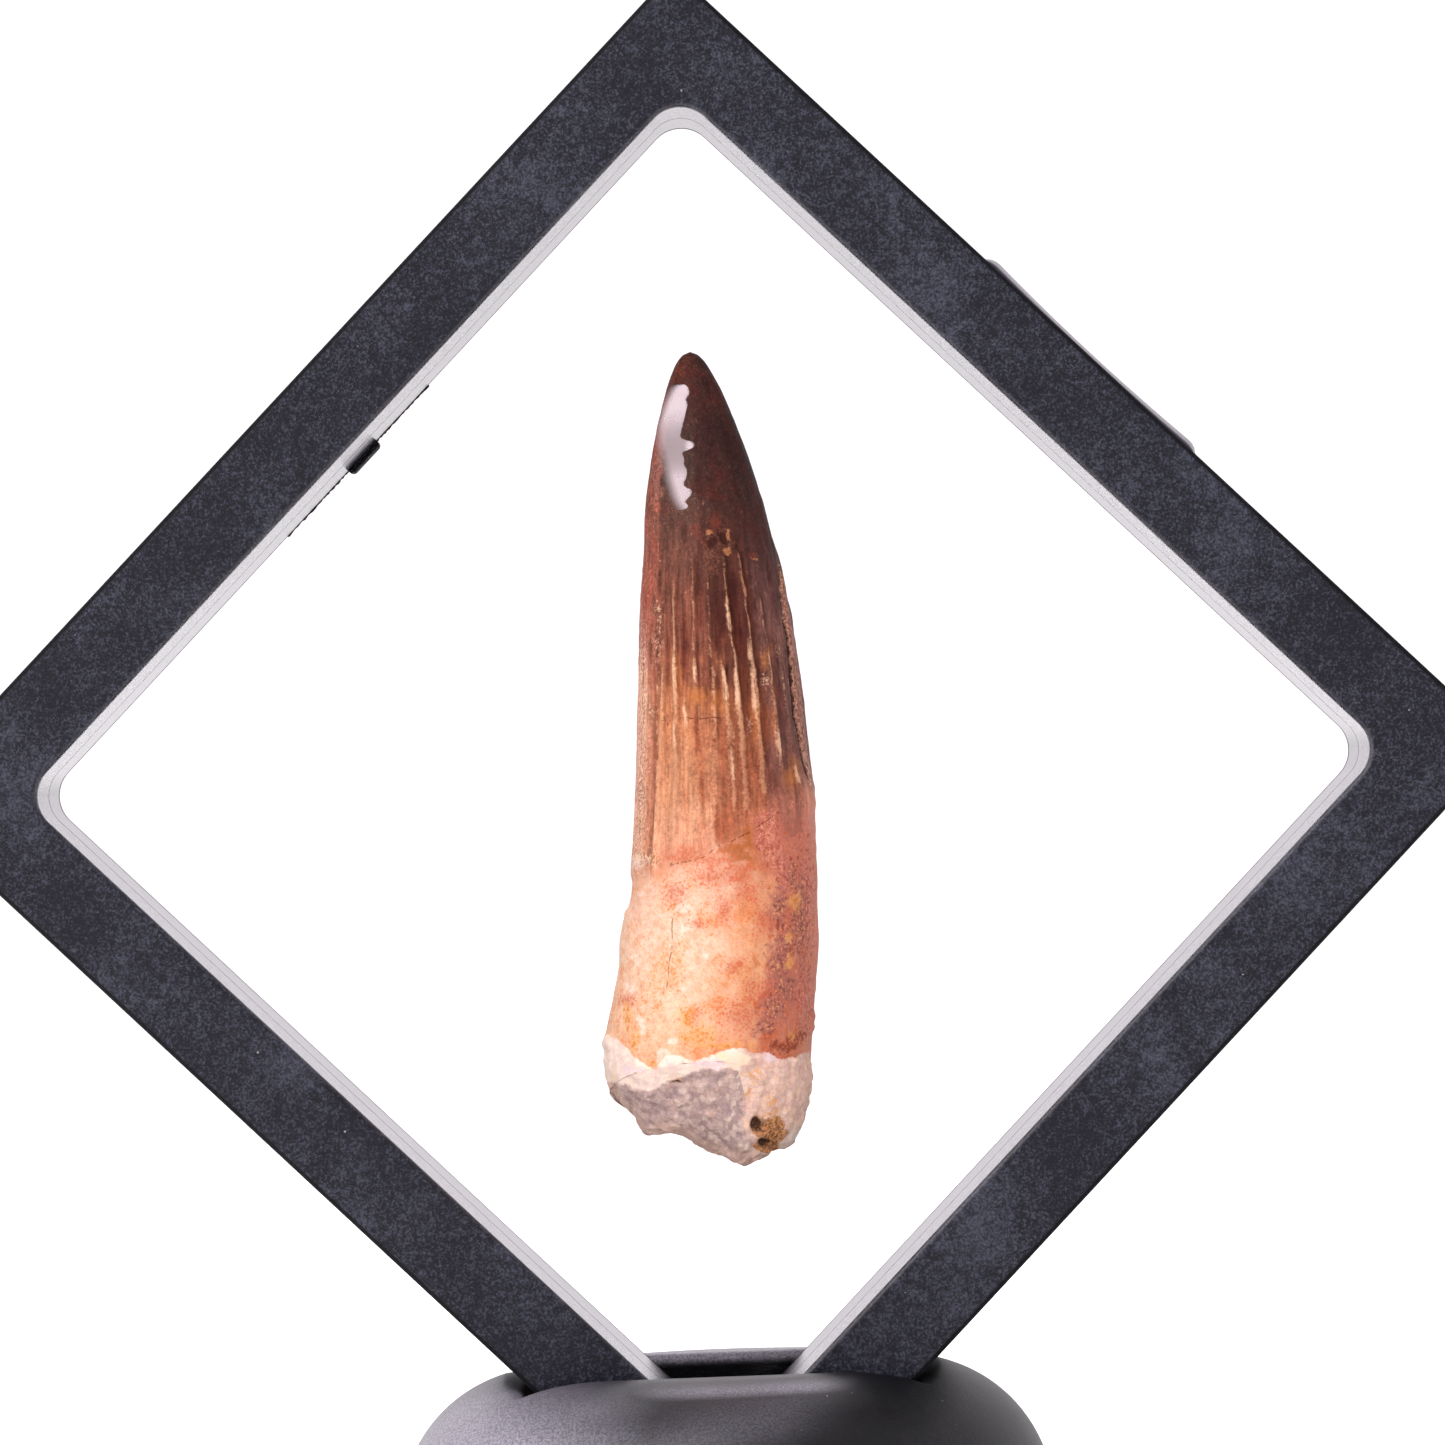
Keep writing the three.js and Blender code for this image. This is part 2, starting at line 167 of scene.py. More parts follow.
def tidyMesh(piece, weld=0.0):
    work = bmesh.new()
    work.from_mesh(piece.data)
    if weld:
        bmesh.ops.remove_doubles(work, verts=work.verts, dist=weld * mm)
    bmesh.ops.recalc_face_normals(work, faces=work.faces)
    work.to_mesh(piece.data)
    work.free()


def evenNormals(piece):
    evened = piece.modifiers.new("even", "WEIGHTED_NORMAL")
    evened.keep_sharp = True


def joinSolid(piece, other):
    # the two closed solids become one, and the second object goes
    joined = piece.modifiers.new("join", "BOOLEAN")
    joined.operation = "UNION"
    joined.solver = "EXACT"
    joined.object = other
    graph = bpy.context.evaluated_depsgraph_get()
    mesh = bpy.data.meshes.new_from_object(piece.evaluated_get(graph))
    piece.modifiers.clear()
    piece.data = mesh
    bpy.data.objects.remove(other)


# shaders

lightTint = (1.0, 0.955, 1.0)               # the studio's light is a little lilac


def tone(red, green, blue, share=1.0):
    # a picture colour, 0 to 255, as the share of the studio's light that it gives back
    def light(level):
        level /= 255
        return level / 12.92 if level <= 0.04045 else ((level + 0.055) / 1.055) ** 2.4
    mixed = [light(level) * share / tint for level, tint in zip((red, green, blue), lightTint)]
    return (*mixed, 1.0)


class Sock:
    # a number on its way through a material: operators add Math nodes
    def __init__(self, tree, link):
        self.tree = tree
        self.link = link

    def calc(self, operation, *values):
        node = self.tree.nodes.new("ShaderNodeMath")
        node.operation = operation
        for place, value in enumerate(values):
            feed(self.tree, node.inputs[place], value)
        return Sock(self.tree, node.outputs[0])

    def __add__(self, other):
        return self.calc("ADD", self, other)

    def __radd__(self, other):
        return self.calc("ADD", other, self)

    def __sub__(self, other):
        return self.calc("SUBTRACT", self, other)

    def __rsub__(self, other):
        return self.calc("SUBTRACT", other, self)

    def __mul__(self, other):
        return self.calc("MULTIPLY", self, other)

    def __rmul__(self, other):
        return self.calc("MULTIPLY", other, self)

    def __truediv__(self, other):
        return self.calc("DIVIDE", self, other)

    def __pow__(self, other):
        return self.calc("POWER", self, other)

    def __abs__(self):
        return self.calc("ABSOLUTE", self)

    def most(self, other):
        return self.calc("MAXIMUM", self, other)


def feed(tree, socket, value):
    if isinstance(value, Sock):
        tree.links.new(value.link, socket)
    else:
        socket.default_value = value


principledSockets = {
    "colour": "Base Color", "roughness": "Roughness", "metal": "Metallic", "normal": "Normal",
    "coat": "Coat Weight", "coatRoughness": "Coat Roughness", "ior": "IOR", "alpha": "Alpha",
    "shine": "Specular IOR Level", "coatIor": "Coat IOR", "glow": "Emission Color", "glowStrength": "Emission Strength",
}


class Finish:
    # one material and the ways to add to it
    def __init__(self, name):
        self.material = bpy.data.materials.new(name)
        self.material.use_nodes = True
        self.tree = self.material.node_tree
        self.shader = self.tree.nodes["Principled BSDF"]
        self.place = self.node("TexCoord", out="Object")

    def node(self, kind, settings=None, values=None, out=0):
        made = self.tree.nodes.new("ShaderNode" + kind)
        for key, value in (settings or {}).items():
            if key == "stops":
                self.setStops(made.color_ramp, value)
            else:
                setattr(made, key, value)
        for key, value in (values or {}).items():
            feed(self.tree, made.inputs[key], value)
        return Sock(self.tree, made.outputs[out])

    def setStops(self, ramp, stops):
        while len(ramp.elements) < len(stops):
            ramp.elements.new(1.0)
        for element, (position, colour) in zip(ramp.elements, stops):
            element.position = position
            element.color = colour

    def put(self, **values):
        for key, value in values.items():
            feed(self.tree, self.shader.inputs[principledSockets[key]], value)

    def mix(self, share, below, above):
        return self.node("Mix", {"data_type": "RGBA"}, {0: share, 6: below, 7: above}, out=2)

    def times(self, colour, factor):
        # the colour made brighter or darker
        return self.node("VectorMath", {"operation": "SCALE"}, {0: colour, "Scale": factor}, out="Vector")

    def tinted(self, share, colour, tint):
        # the colour with its red, green and blue multiplied, in places
        changed = self.node("VectorMath", {"operation": "MULTIPLY"}, {0: colour, 1: tint}, out="Vector")
        return self.mix(share, colour, changed)

    def ramp(self, value, low, high, stops):
        # stops are (place, colour) with places between low and high
        spread = sorted(((place - low) / (high - low), colour) for place, colour in stops)
        return self.node("ValToRGB", {"stops": spread}, {"Fac": (value - low) / (high - low)})

    def stretch(self, scale, shift=(0, 0, 0)):
        return self.node("Mapping", None, {
            "Vector": self.place, "Location": shift, "Scale": [share / mm for share in scale]})

    def noise(self, size, detail=3.0, rough=0.55, scale=(1, 1, 1), shift=(0, 0, 0)):
        # noise with features about size millimetres across, 0 to 1
        place = self.stretch([share / size for share in scale], shift)
        return self.node("TexNoise", None, {
            "Vector": place, "Scale": 1.0, "Detail": detail, "Roughness": rough})

    def cells(self, size, feature="F1", scale=(1, 1, 1), out="Distance", shift=(0, 0, 0)):
        place = self.stretch([share / size for share in scale], shift)
        return self.node("TexVoronoi", {"feature": feature}, {"Vector": place, "Scale": 1.0}, out=out)

    def rise(self, value, low, high):
        # 0 below low, 1 above high, smooth between
        return self.node("MapRange", {"interpolation_type": "SMOOTHSTEP"}, {
            "Value": value, "From Min": low, "From Max": high})

    def split(self):
        parts = self.tree.nodes.new("ShaderNodeSeparateXYZ")
        self.tree.links.new(self.place.link, parts.inputs[0])
        return [Sock(self.tree, parts.outputs[axis]) / mm for axis in range(3)]

    def bump(self, height, depth, below=None):
        # depth is in millimetres
        values = {"Height": height, "Distance": depth * mm, "Strength": 1.0}
        if below:
            values["Normal"] = below
        return self.node("Bump", None, values)

    def attribute(self, name):
        return self.node("Attribute", {"attribute_name": name}, None, out="Fac")


# camera: fitted to the four inner edges of the frame

view = {
    "distance": 570.0,                      # from the frame's front face
    "right": 1.24,                          # of the frame's middle
    "above": 0.43,
    "pitchUp": 0.352,                       # degrees
    "yawRight": 0.041,
    "roll": 2.135,
    "lens": 179.6,
    "sensor": 36.0,
}


def makeCamera():
    lens = bpy.data.cameras.new("camera")
    lens.lens = view["lens"]
    lens.sensor_width = view["sensor"]
    lens.clip_start = 0.02
    lens.clip_end = 60
    camera = bpy.data.objects.new("camera", lens)
    bpy.context.scene.collection.objects.link(camera)
    camera.location = (view["right"] * mm, (frontFace - view["distance"]) * mm,
                       (frameCentre + view["above"]) * mm)
    level = Euler((math.radians(90 + view["pitchUp"]), 0, math.radians(-view["yawRight"])))
    turned = level.to_matrix() @ Matrix.Rotation(math.radians(-view["roll"]), 3, "Z")
    camera.rotation_euler = turned.to_euler()
    bpy.context.scene.camera = camera


# pale studio

studio = {
    "whiteBehind": 1.30,                    # light from behind the object
    "whiteInFront": 0.42,
    "backdrop": 1.15,                       # what the camera sees
    "floorColour": (0.86, 0.86, 0.86, 1),
    "floorFibre": (0.90, 0.90, 0.90, 1),
    "floorGlow": 0.40,
    "floorRadius": 9.0,                     # metres
    "floorRings": 24,
    "unseen": "frontSoftbox",               # not seen in glossy surfaces
    "lamps": {
        # place in metres from the frame's middle, width and height in metres, watts
        "leftSoftbox": ((-0.68, -0.32, 0.26), (1.20, 1.10), 12.0),
        "frontSoftbox": ((0.34, -0.95, 0.45), (0.50, 0.50), 7.5),
        "topSoftbox": ((-0.22, -0.50, 0.92), (0.55, 0.40), 5.0),
    },
}


def makeFloor():
    rings = [[(0, 0, 0)]]
    turn = np.linspace(0, 2 * np.pi, 96, endpoint=False)
    for step in range(1, studio["floorRings"] + 1):
        radius = studio["floorRadius"] * (step / studio["floorRings"]) ** 2
        rings.append(np.stack([radius * np.cos(turn), radius * np.sin(turn), 0 * turn], 1).tolist())
    mesh = bpy.data.meshes.new("floor")
    mesh.from_pydata([point for ring in rings for point in ring], [], skinFaces([len(ring) for ring in rings]))
    floor = bpy.data.objects.new("floor", mesh)
    bpy.context.scene.collection.objects.link(floor)
    paper = Finish("floor_paper")
    fibre = paper.noise(6.0, detail=5)
    paper.put(colour=paper.mix(fibre, studio["floorColour"], studio["floorFibre"]), roughness=0.9, shine=0.1)
    paper.put(glow=(1, 1, 1, 1), glowStrength=studio["floorGlow"])
    mesh.materials.append(paper.material)


def makeLight():
    middle = Vector((0, 0, frameCentre * mm))
    for name, (place, size, watts) in studio["lamps"].items():
        lamp = bpy.data.lights.new(name, "AREA")
        lamp.shape = "RECTANGLE"
        lamp.size, lamp.size_y = size
        lamp.energy = watts
        lamp.color = lightTint
        holder = bpy.data.objects.new(name, lamp)
        bpy.context.scene.collection.objects.link(holder)
        holder.location = middle + Vector(place)
        holder.rotation_euler = (-Vector(place)).to_track_quat("-Z", "Y").to_euler()
        holder.visible_glossy = name != studio["unseen"]
    world = bpy.data.worlds.new("studio")
    bpy.context.scene.world = world
    world.use_nodes = True
    tree = world.node_tree
    tree.nodes.clear()
    add = tree.nodes.new
    coordinate, parts, spread = add("ShaderNodeTexCoord"), add("ShaderNodeSeparateXYZ"), add("ShaderNodeMapRange")
    path, pick, glow = add("ShaderNodeLightPath"), add("ShaderNodeMix"), add("ShaderNodeBackground")
    output = add("ShaderNodeOutputWorld")
    spread.inputs["From Min"].default_value = -1
    spread.inputs["To Min"].default_value = studio["whiteInFront"]
    spread.inputs["To Max"].default_value = studio["whiteBehind"]
    pick.inputs[3].default_value = studio["backdrop"]
    glow.inputs["Color"].default_value = (*lightTint, 1)
    tree.links.new(coordinate.outputs["Generated"], parts.inputs[0])
    tree.links.new(parts.outputs[1], spread.inputs["Value"])
    tree.links.new(path.outputs["Is Camera Ray"], pick.inputs[0])
    tree.links.new(spread.outputs[0], pick.inputs[2])
    tree.links.new(pick.outputs[0], glow.inputs["Strength"])
    tree.links.new(glow.outputs[0], output.inputs[0])
    bpy.context.scene.view_settings.view_transform = "Standard"


# black plastic of the frame and the stand

plastics = {
    "frame_black": {"dark": (0.0024, 0.0025, 0.0050, 1), "light": (0.050, 0.053, 0.074, 1), "lightShare": 0.68,
                    "scuffed": 0.13, "rough": 0.48, "shine": 0.18, "grain": 0.05, "sheenRough": 0.2,
                    "sheenIor": 1.5},
    "stand_black": {"dark": (0.0008, 0.0007, 0.0012, 1), "light": (0.030, 0.028, 0.038, 1), "lightShare": 0.15,
                    "scuffed": 0.06, "rough": 0.42, "shine": 0.12, "grain": 0.07, "sheenRough": 0.36,
                    "sheenIor": 1.7},
}
wallLook = {"shade": (0.014, 0.008, 0.022, 1), "wallShine": 0.81, "lipShine": 0.42, "behind": 8.7}
# painted highlights on the stand: its left shoulder, a line along the front rim and a band across the front
standHighlightLook = {"colour": (0.26, 0.245, 0.29, 1), "left": (-9, -25), "leftShare": 0.8, "rimFrom": (-10, -1), "rimTo": (11, 6), "rim": 0.55,
             "band": 0.17, "bandDrop": 2.9, "bandSlope": 0.2, "bandFrom": (-18, 0), "bandTo": (11, 3)}


def makePlastic(name):
    kind = plastics[name]
    plastic = Finish(name)
    x, y, z = plastic.split()
    up = z - frameCentre
    grain = plastic.noise(0.19, detail=3, rough=0.7)
    coarse = plastic.noise(0.9, detail=4)
    cloud = plastic.noise(8.0, detail=5, rough=0.6, shift=(3, 1, 2))
    lightGrain = plastic.rise(grain + (coarse - 0.5) * 0.25 + (cloud - 0.5) * 0.3, 0.43, 0.75)
    scuffed = plastic.rise(cloud * 0.7 + coarse * 0.3, 0.50, 0.68)
    shade = plastic.mix(lightGrain * kind["lightShare"], kind["dark"], kind["light"])
    shade = plastic.mix(scuffed * kind["scuffed"], shade, kind["light"])
    dust = plastic.rise(plastic.noise(0.55, detail=1, shift=(8, 2, 5)), 0.80, 0.84)
    shade = plastic.mix(dust * 0.7, shade, (0.30, 0.28, 0.28, 1))
    if name == "frame_black":
        first, second = abs(x - up) * math.sqrt(0.5), abs(x + up) * math.sqrt(0.5)
        inward = first.most(second)
        # distance from the rounded inner wall, which is smooth and shines up to its rear edge
        straight = openingHalf - ring["innerCorner"]
        off = ((first - straight).most(0) ** 2 + (second - straight).most(0) ** 2) ** 0.5 - ring["innerCorner"]
        wall = (1 - plastic.rise(off, 0.1, 0.4)) * plastic.rise(off, -0.12, -0.04)
        wall = wall * plastic.rise(y, wallLook["behind"] + 0.2, wallLook["behind"])
        lip = plastic.rise(inward, halfSide + 0.03, halfSide + 0.1)
        smooth = wall + lip
        sheen = wall * wallLook["wallShine"] + lip * wallLook["lipShine"]
        shade = plastic.mix(smooth * (1 - plastic.rise(off, 0.01, 0.08)) + lip, shade, wallLook["shade"])
        # painted shade: a band just inside the outer edge is painted dark
        edge = plastic.rise(inward, halfSide - 0.5, halfSide - 0.25) * (1 - lip)
        # painted shade: the far edge of the wall and the gate tab are painted black
        edge = edge.most(plastic.rise(y, wallLook["behind"], wallLook["behind"] + 0.2) * plastic.rise(off, 0.3, 0.1))
        edge = edge.most(plastic.rise(off, -0.04, -0.12))
    else:
        # painted shade: deep in the slot the colour is painted black
        within = plastic.rise(abs(x - stand["shiftX"]) - up - halfSide * math.sqrt(2), 1.0, 0.7)
        within = within * plastic.rise(abs(y), stand["slotHalf"] + 0.3, stand["slotHalf"] + 0.1)
        edge = within * plastic.rise(z, standHeight - 0.4, standHeight - 1.2)
        smooth = 0.0
        # painted highlights: the left shoulder, the front rim, a band across the front and the rear rim are painted
        # lighter and grainy, and the coat weight follows them
        left = plastic.rise(x + y * 0.3, *standHighlightLook["left"]) * plastic.rise(y, 14, -10) * standHighlightLook["leftShare"]
        rim = plastic.rise(abs(z - standHeight + 0.6), 0.7, 0.0) * standHighlightLook["rim"]
        rim = rim * plastic.rise(x, *standHighlightLook["rimFrom"]) * plastic.rise(x, *standHighlightLook["rimTo"])
        band = plastic.rise(abs(z - x * standHighlightLook["bandSlope"] - standHeight + standHighlightLook["bandDrop"]), 3.4, 0.0)
        band = band * plastic.rise(x, *standHighlightLook["bandFrom"]) * plastic.rise(x, *standHighlightLook["bandTo"])
        behind = plastic.rise(y, 9, 12) * plastic.rise(z, standHeight - 2.0, standHeight - 0.6)
        standHighlights = left.most(rim.most(band * standHighlightLook["band"]) * plastic.rise(y, 0, -10))
        standHighlights = standHighlights.most(behind * 0.7) * (1 - edge) * (plastic.rise(grain, 0.36, 0.64) * 0.6 + 0.4)
        # the painted highlights lighten the colour here
        shade = plastic.mix(standHighlights, shade, standHighlightLook["colour"])
        sheen = (standHighlights * 0.8 + 0.2) * (1 - edge)
    # painted shade: where edge is set, the colour is painted near black and the surface made rougher
    shade = plastic.mix(edge * 0.9, shade, (0.0005, 0.0005, 0.0008, 1))
    height = (grain + coarse * 0.3) * (1 - smooth)
    rough = (plastic.rise(grain, 0.1, 0.9) * 0.1 + edge * 0.4) * (1 - smooth) + kind["rough"]
    plastic.put(colour=shade, roughness=rough, shine=kind["shine"])
    plastic.put(coat=sheen, coatRoughness=kind["sheenRough"], coatIor=kind["sheenIor"])
    plastic.put(normal=plastic.bump(height, kind["grain"]))
    return plastic.material


# frame

ring = {
    "side": 90.0,
    "bar": 6.9,
    "depth": 20.0,
    "outerCorner": 2.5,
    "innerCorner": 2.8,
    "cornerSteps": 14,
    "sideSteps": 72,
    "outerRound": 0.55,
    "innerRound": 0.5,
    "partingRound": 0.05,
    "roundSteps": 5,
    "partingGap": 0.06,
    "grooveDepth": 1.6,                     # the films' edges are held in this groove
    "grooveHalf": 0.12,
}
halfSide = ring["side"] / 2
openingHalf = halfSide - ring["bar"]
halfDepth = ring["depth"] / 2


def roundedPath(halfX, halfZ, radius, cornerSteps, sideSteps):
    # once round a rectangle with rounded corners, from the right side
    signs = ((1, 1), (-1, 1), (-1, -1), (1, -1))
    points = []
    for corner in range(4):
        signX, signZ = signs[corner]
        for step in range(cornerSteps + 1):
            angle = (corner + step / cornerSteps) * math.pi / 2
            points.append((signX * (halfX - radius) + radius * math.cos(angle),
                           signZ * (halfZ - radius) + radius * math.sin(angle)))
        nextX, nextZ = signs[(corner + 1) % 4]
        angle = (corner + 1) * math.pi / 2
        start = points[-1]
        end = (nextX * (halfX - radius) + radius * math.cos(angle),
               nextZ * (halfZ - radius) + radius * math.sin(angle))
        for step in range(1, sideSteps):
            share = step / sideSteps
            points.append((blend(start[0], end[0], share), blend(start[1], end[1], share)))
    return np.array(points)


def standOnCorner(points):
    # from the frame's own square to the upright object
    x, y, z = np.moveaxis(np.asarray(points, float), -1, 0)
    half = math.sqrt(0.5)
    return np.stack([(x + z) * half, y, (z - x) * half + frameCentre], -1)


def frameSection(side):
    # the bar's section, as (edge, offset from it, depth); side is -1 in front and 1 behind
    face = side * halfDepth
    parting = side * ring["partingGap"] / 2
    section = []

    def quarterRound(edge, radius, depth, towards, isRising):
        for step in range(ring["roundSteps"] + 1):
            share = step / ring["roundSteps"]
            turn = (share if isRising else 1 - share) * math.pi / 2
            section.append((edge, radius * (1 - math.cos(turn)), depth - towards * radius * (1 - math.sin(turn))))

    quarterRound("outer", ring["partingRound"], parting, -side, False)
    quarterRound("outer", ring["outerRound"], face, side, True)
    quarterRound("inner", ring["innerRound"], face, side, False)
    quarterRound("inner", ring["partingRound"], side * ring["grooveHalf"], -side, True)
    section.append(("inner", ring["grooveDepth"], side * ring["grooveHalf"]))
    section.append(("inner", ring["grooveDepth"], parting))
    return section


def makeFrameHalf(name, node, side, finish, additions=()):
    rings = []
    for edge, offset, y in frameSection(side):
        half = halfSide - offset if edge == "outer" else openingHalf + offset
        radius = ring["outerCorner"] - offset if edge == "outer" else ring["innerCorner"] + offset
        path = roundedPath(half, half, radius, ring["cornerSteps"], ring["sideSteps"])
        rings.append(np.stack([path[:, 0], np.full(len(path), y), path[:, 1]], 1))
    faces = skinFaces([len(path) for path in rings], isLoop=True)
    piece = addPiece(name, standOnCorner(np.concatenate(rings)), faces, finish, node)
    tidyMesh(piece)
    for addition in additions:
        joinSolid(piece, addition)
    piece.data.set_sharp_from_angle(angle=math.radians(40))
    evenNormals(piece)
    return piece


# latch lip on the upper right side: a low ramp with rounded ends, hollow along its middle

latch = {
    "length": 24.0,
    "proud": 1.5,
    "middle": 1.24,
    "root": 0.8,
    "stations": 61,
    "ramp": [(0.12, 0.46), (0.25, 0.60), (0.6, 0.70), (3.2, 1.0), (4.4, 1.0), (4.9, 0.85), (5.15, 0.55)],
}


def makeLatch():
    rings = []
    halfLength = latch["length"] / 2
    for along in np.linspace(-halfLength, halfLength, latch["stations"]):
        hollow = 1 - (along / (halfLength - latch["proud"])) ** 2
        top = blend(latch["proud"], latch["middle"], max(hollow, 0))
        fromEnd = min((halfLength - abs(along)) / latch["proud"], 1)
        top *= math.sqrt(1 - (1 - fromEnd) ** 2)
        loop = [(along, 0.12, halfSide - latch["root"])]
        loop += [(along, y, halfSide - 0.05 + top * share) for y, share in latch["ramp"]]
        loop += [(along, 5.15, halfSide - latch["root"])]
        rings.append(loop)
    points = [point for loop in rings for point in loop]
    faces = skinFaces([len(loop) for loop in rings])
    count = len(rings[0])
    faces += [list(range(count)), list(range(len(points) - count, len(points)))]
    piece = addPiece("latch", standOnCorner(points), faces, None, None)
    tidyMesh(piece)
    return piece


# gate tab on the upper left inner wall, and the thin flash beside it

tab = {"length": 3.4, "depth": 3.0, "proud": 0.62, "behindParting": 6.7, "root": 0.8, "round": 0.4}
flash = {"from": -9.0, "to": 8.0, "step": 0.22, "proud": 0.13, "thick": 0.16, "back": 0.35}


def makeTab():
    path = roundedPath(tab["length"] / 2, (tab["proud"] + tab["root"]) / 2, tab["round"], 6, 3)
    inset = 0.12
    small = roundedPath(tab["length"] / 2 - inset, (tab["proud"] + tab["root"]) / 2 - inset,
                        tab["round"] - inset, 6, 3)
    middle = -openingHalf + (tab["proud"] - tab["root"]) / 2
    rings = []
    for outline, y in ((small, 0), (path, inset), (path, tab["depth"] - inset), (small, tab["depth"])):
        rings.append([(middle + out, tab["behindParting"] + y, along) for along, out in outline])
    count = len(path)
    faces = skinFaces([count] * 4) + [list(range(count)), list(range(3 * count, 4 * count))]
    piece = addPiece("tab", standOnCorner([point for loop in rings for point in loop]), faces, None, None)
    tidyMesh(piece)
    return piece


def makeFlash():
    places = np.arange(flash["from"], flash["to"], flash["step"])
    draw = np.random.default_rng(5)
    rings = []
    for place in places:
        proud = flash["proud"] * draw.uniform(0.15, 1.0)
        y = halfDepth - flash["back"]
        rings.append([(-openingHalf - 0.3, y, place), (-openingHalf + proud, y + 0.03, place),
                      (-openingHalf + proud, y + flash["thick"], place), (-openingHalf - 0.3, y + flash["thick"], place)])
    count = 4 * len(places)
    faces = skinFaces([4] * len(places)) + [[0, 1, 2, 3], [count - 4, count - 3, count - 2, count - 1]]
    piece = addPiece("flash", standOnCorner([point for loop in rings for point in loop]), faces, None, None)
    tidyMesh(piece)
    return piece


# tooth

tooth = {
    "columns": 272,
    "rowSpacing": [(33.9, 0.022), (33.2, 0.08), (32.0, 0.15), (21.0, 0.165), (16.0, 0.22),
                   (-17.0, 0.245), (-21.0, 0.16), (-24.0, 0.15)],
    "breakRings": 58,
    "tip": (33.9, 0.16),
    "leftEdge": [(33.9, 0.16), (33.6, -0.5), (32.6, -1.2), (30, -2.15), (26, -3.15), (20, -4.15), (13, -4.93),
                 (5, -5.38), (-3, -5.88), (-9, -6.6), (-10.8, -7.1), (-15, -7.45), (-20, -8.6), (-24, -9),
                 (-26.5, -8.2), (-32, -7)],
    "rightEdge": [(33.9, 0.16), (33.6, 0.8), (32.6, 1.6), (30, 2.85), (26, 4.3), (20, 6.05), (17, 6.98), (13, 7.65),
                  (5, 8.5), (-3, 8.82), (-9.5, 9.0), (-15, 8.68), (-20, 8.25), (-24, 7.85), (-32, 7.5)],
    "bottomEdge": [(-9, -24.6), (-8, -25.9), (-7.3, -27.1), (-6.4, -27.9), (-5.8, -28.9), (-4.7, -28.8),
                   (-2.8, -29), (-2.2, -29.3), (-1, -30.2), (0.4, -30.8), (1.3, -31.4), (2.6, -31.4),
                   (3.5, -31.1), (4.4, -30.6), (6.3, -30.5), (7, -29.8), (7.4, -28.4), (8.4, -26.5)],
    "depthShare": 0.88,                     # of the half width
    "greatestHalfDepth": 6.8,
    "breakFront": -23.0,
    "breakBack": -28.5,
    "steepSide": 12.0,
    "steepFront": 2.2,
    "enamelEdge": -5.9,
    "enamelSlope": 0.34,
    "enamelReach": 5.0,
}
leftEdge = curveThrough(tooth["leftEdge"])
rightEdge = curveThrough(tooth["rightEdge"])
bottomEdge = curveThrough(tooth["bottomEdge"])

# lines down the front: share of the half width at the top and at the bottom, upper and lower end, strength
frontRidges = [
    (-0.66, -0.68, 14.0, 8.5, 0.55), (-0.68, -0.75, 9.5, -6.0, 0.75), (-0.53, -0.54, 16.5, -5.5, 1.0),
    (-0.28, -0.29, 18.5, 6.0, 0.8), (-0.41, -0.43, 7.4, -5.0, 0.6), (-0.07, -0.10, 18.0, -5.5, 0.65),
    (0.05, 0.12, 9.6, -4.5, 0.8), (0.16, 0.26, 18.5, -5.0, 1.0), (0.40, 0.45, 18.5, -4.0, 0.95),
    (0.60, 0.66, 15.0, -1.5, 0.7), (0.77, 0.79, 9.5, 1.0, 0.5), (-0.86, -0.875, 12.0, -5.0, 0.4),
]
# bright worn lengths of the ridges, with the same first four values and their half width
wornLengths = [
    (-0.54, -0.54, 10.4, 6.2, 0.24), (-0.29, -0.29, 9.0, 7.0, 0.20), (-0.42, -0.42, 5.8, 3.6, 0.20),
    (0.64, 0.66, 3.8, 0.4, 0.26), (0.06, 0.08, 8.6, 5.0, 0.16), (0.18, 0.21, 8.9, 4.4, 0.22),
    (0.39, 0.41, 11.4, 3.0, 0.20), (0.61, 0.65, 10.2, 7.0, 0.18), (0.165, 0.175, 14.4, 10.5, 0.13),
    (-0.91, -0.93, 8.8, 5.6, 0.20), (-0.54, -0.54, 4.2, 1.8, 0.20), (0.10, 0.12, 2.6, -1.5, 0.18),
    (-0.53, -0.54, 14.5, 12.0, 0.10), (-0.74, -0.74, 1.5, -5.0, 0.13), (0.80, 0.86, 0.2, -3.5, 0.30),
]
darkLengths = [
    (0.02, 0.03, 15.5, 8.4, 0.42), (-0.18, -0.19, 17.0, 10.5, 0.40), (0.29, 0.34, 13.0, 2.0, 0.55),
    (0.51, 0.50, 10.0, -1.0, 0.50), (-0.81, -0.80, 10.0, -6.0, 0.36), (0.12, 0.11, 13.0, 8.8, 0.30),
    (0.28, 0.29, 16.5, 12.5, 0.45), (-0.40, -0.42, 13.0, 7.5, 0.35), (0.70, 0.72, 12.0, 1.0, 0.50),
    (-0.62, -0.64, 12.0, 6.0, 0.22), (-0.03, 0.0, 8.0, 5.0, 0.25), (0.55, 0.58, 0.0, -4.0, 0.50),
]
backRidges = {"count": 15, "jitter": 2.4, "top": (13.0, 19.0), "bottom": -6.0, "seed": 3}
fluting = {"height": 0.28, "thinCrest": 0.11, "wideCrest": 0.30, "foot": 0.42, "fineHeight": 0.08,
           "shadeShift": 0.30, "shadeWidth": 0.18}
# the grooves beside the cutting edges, as the share of the half width against the height
rightGroove = curveThrough([(17.0, 0.985), (16.3, 0.975), (13.5, 0.925), (11, 0.92), (8.3, 0.91), (6.4, 0.89),
                            (4.1, 0.89), (2.3, 0.92), (0, 0.94), (-3, 0.965)])
grooves = {"width": 0.34, "depth": 0.40, "leftShare": -0.815, "leftWidth": 0.34, "leftDepth": 0.16}

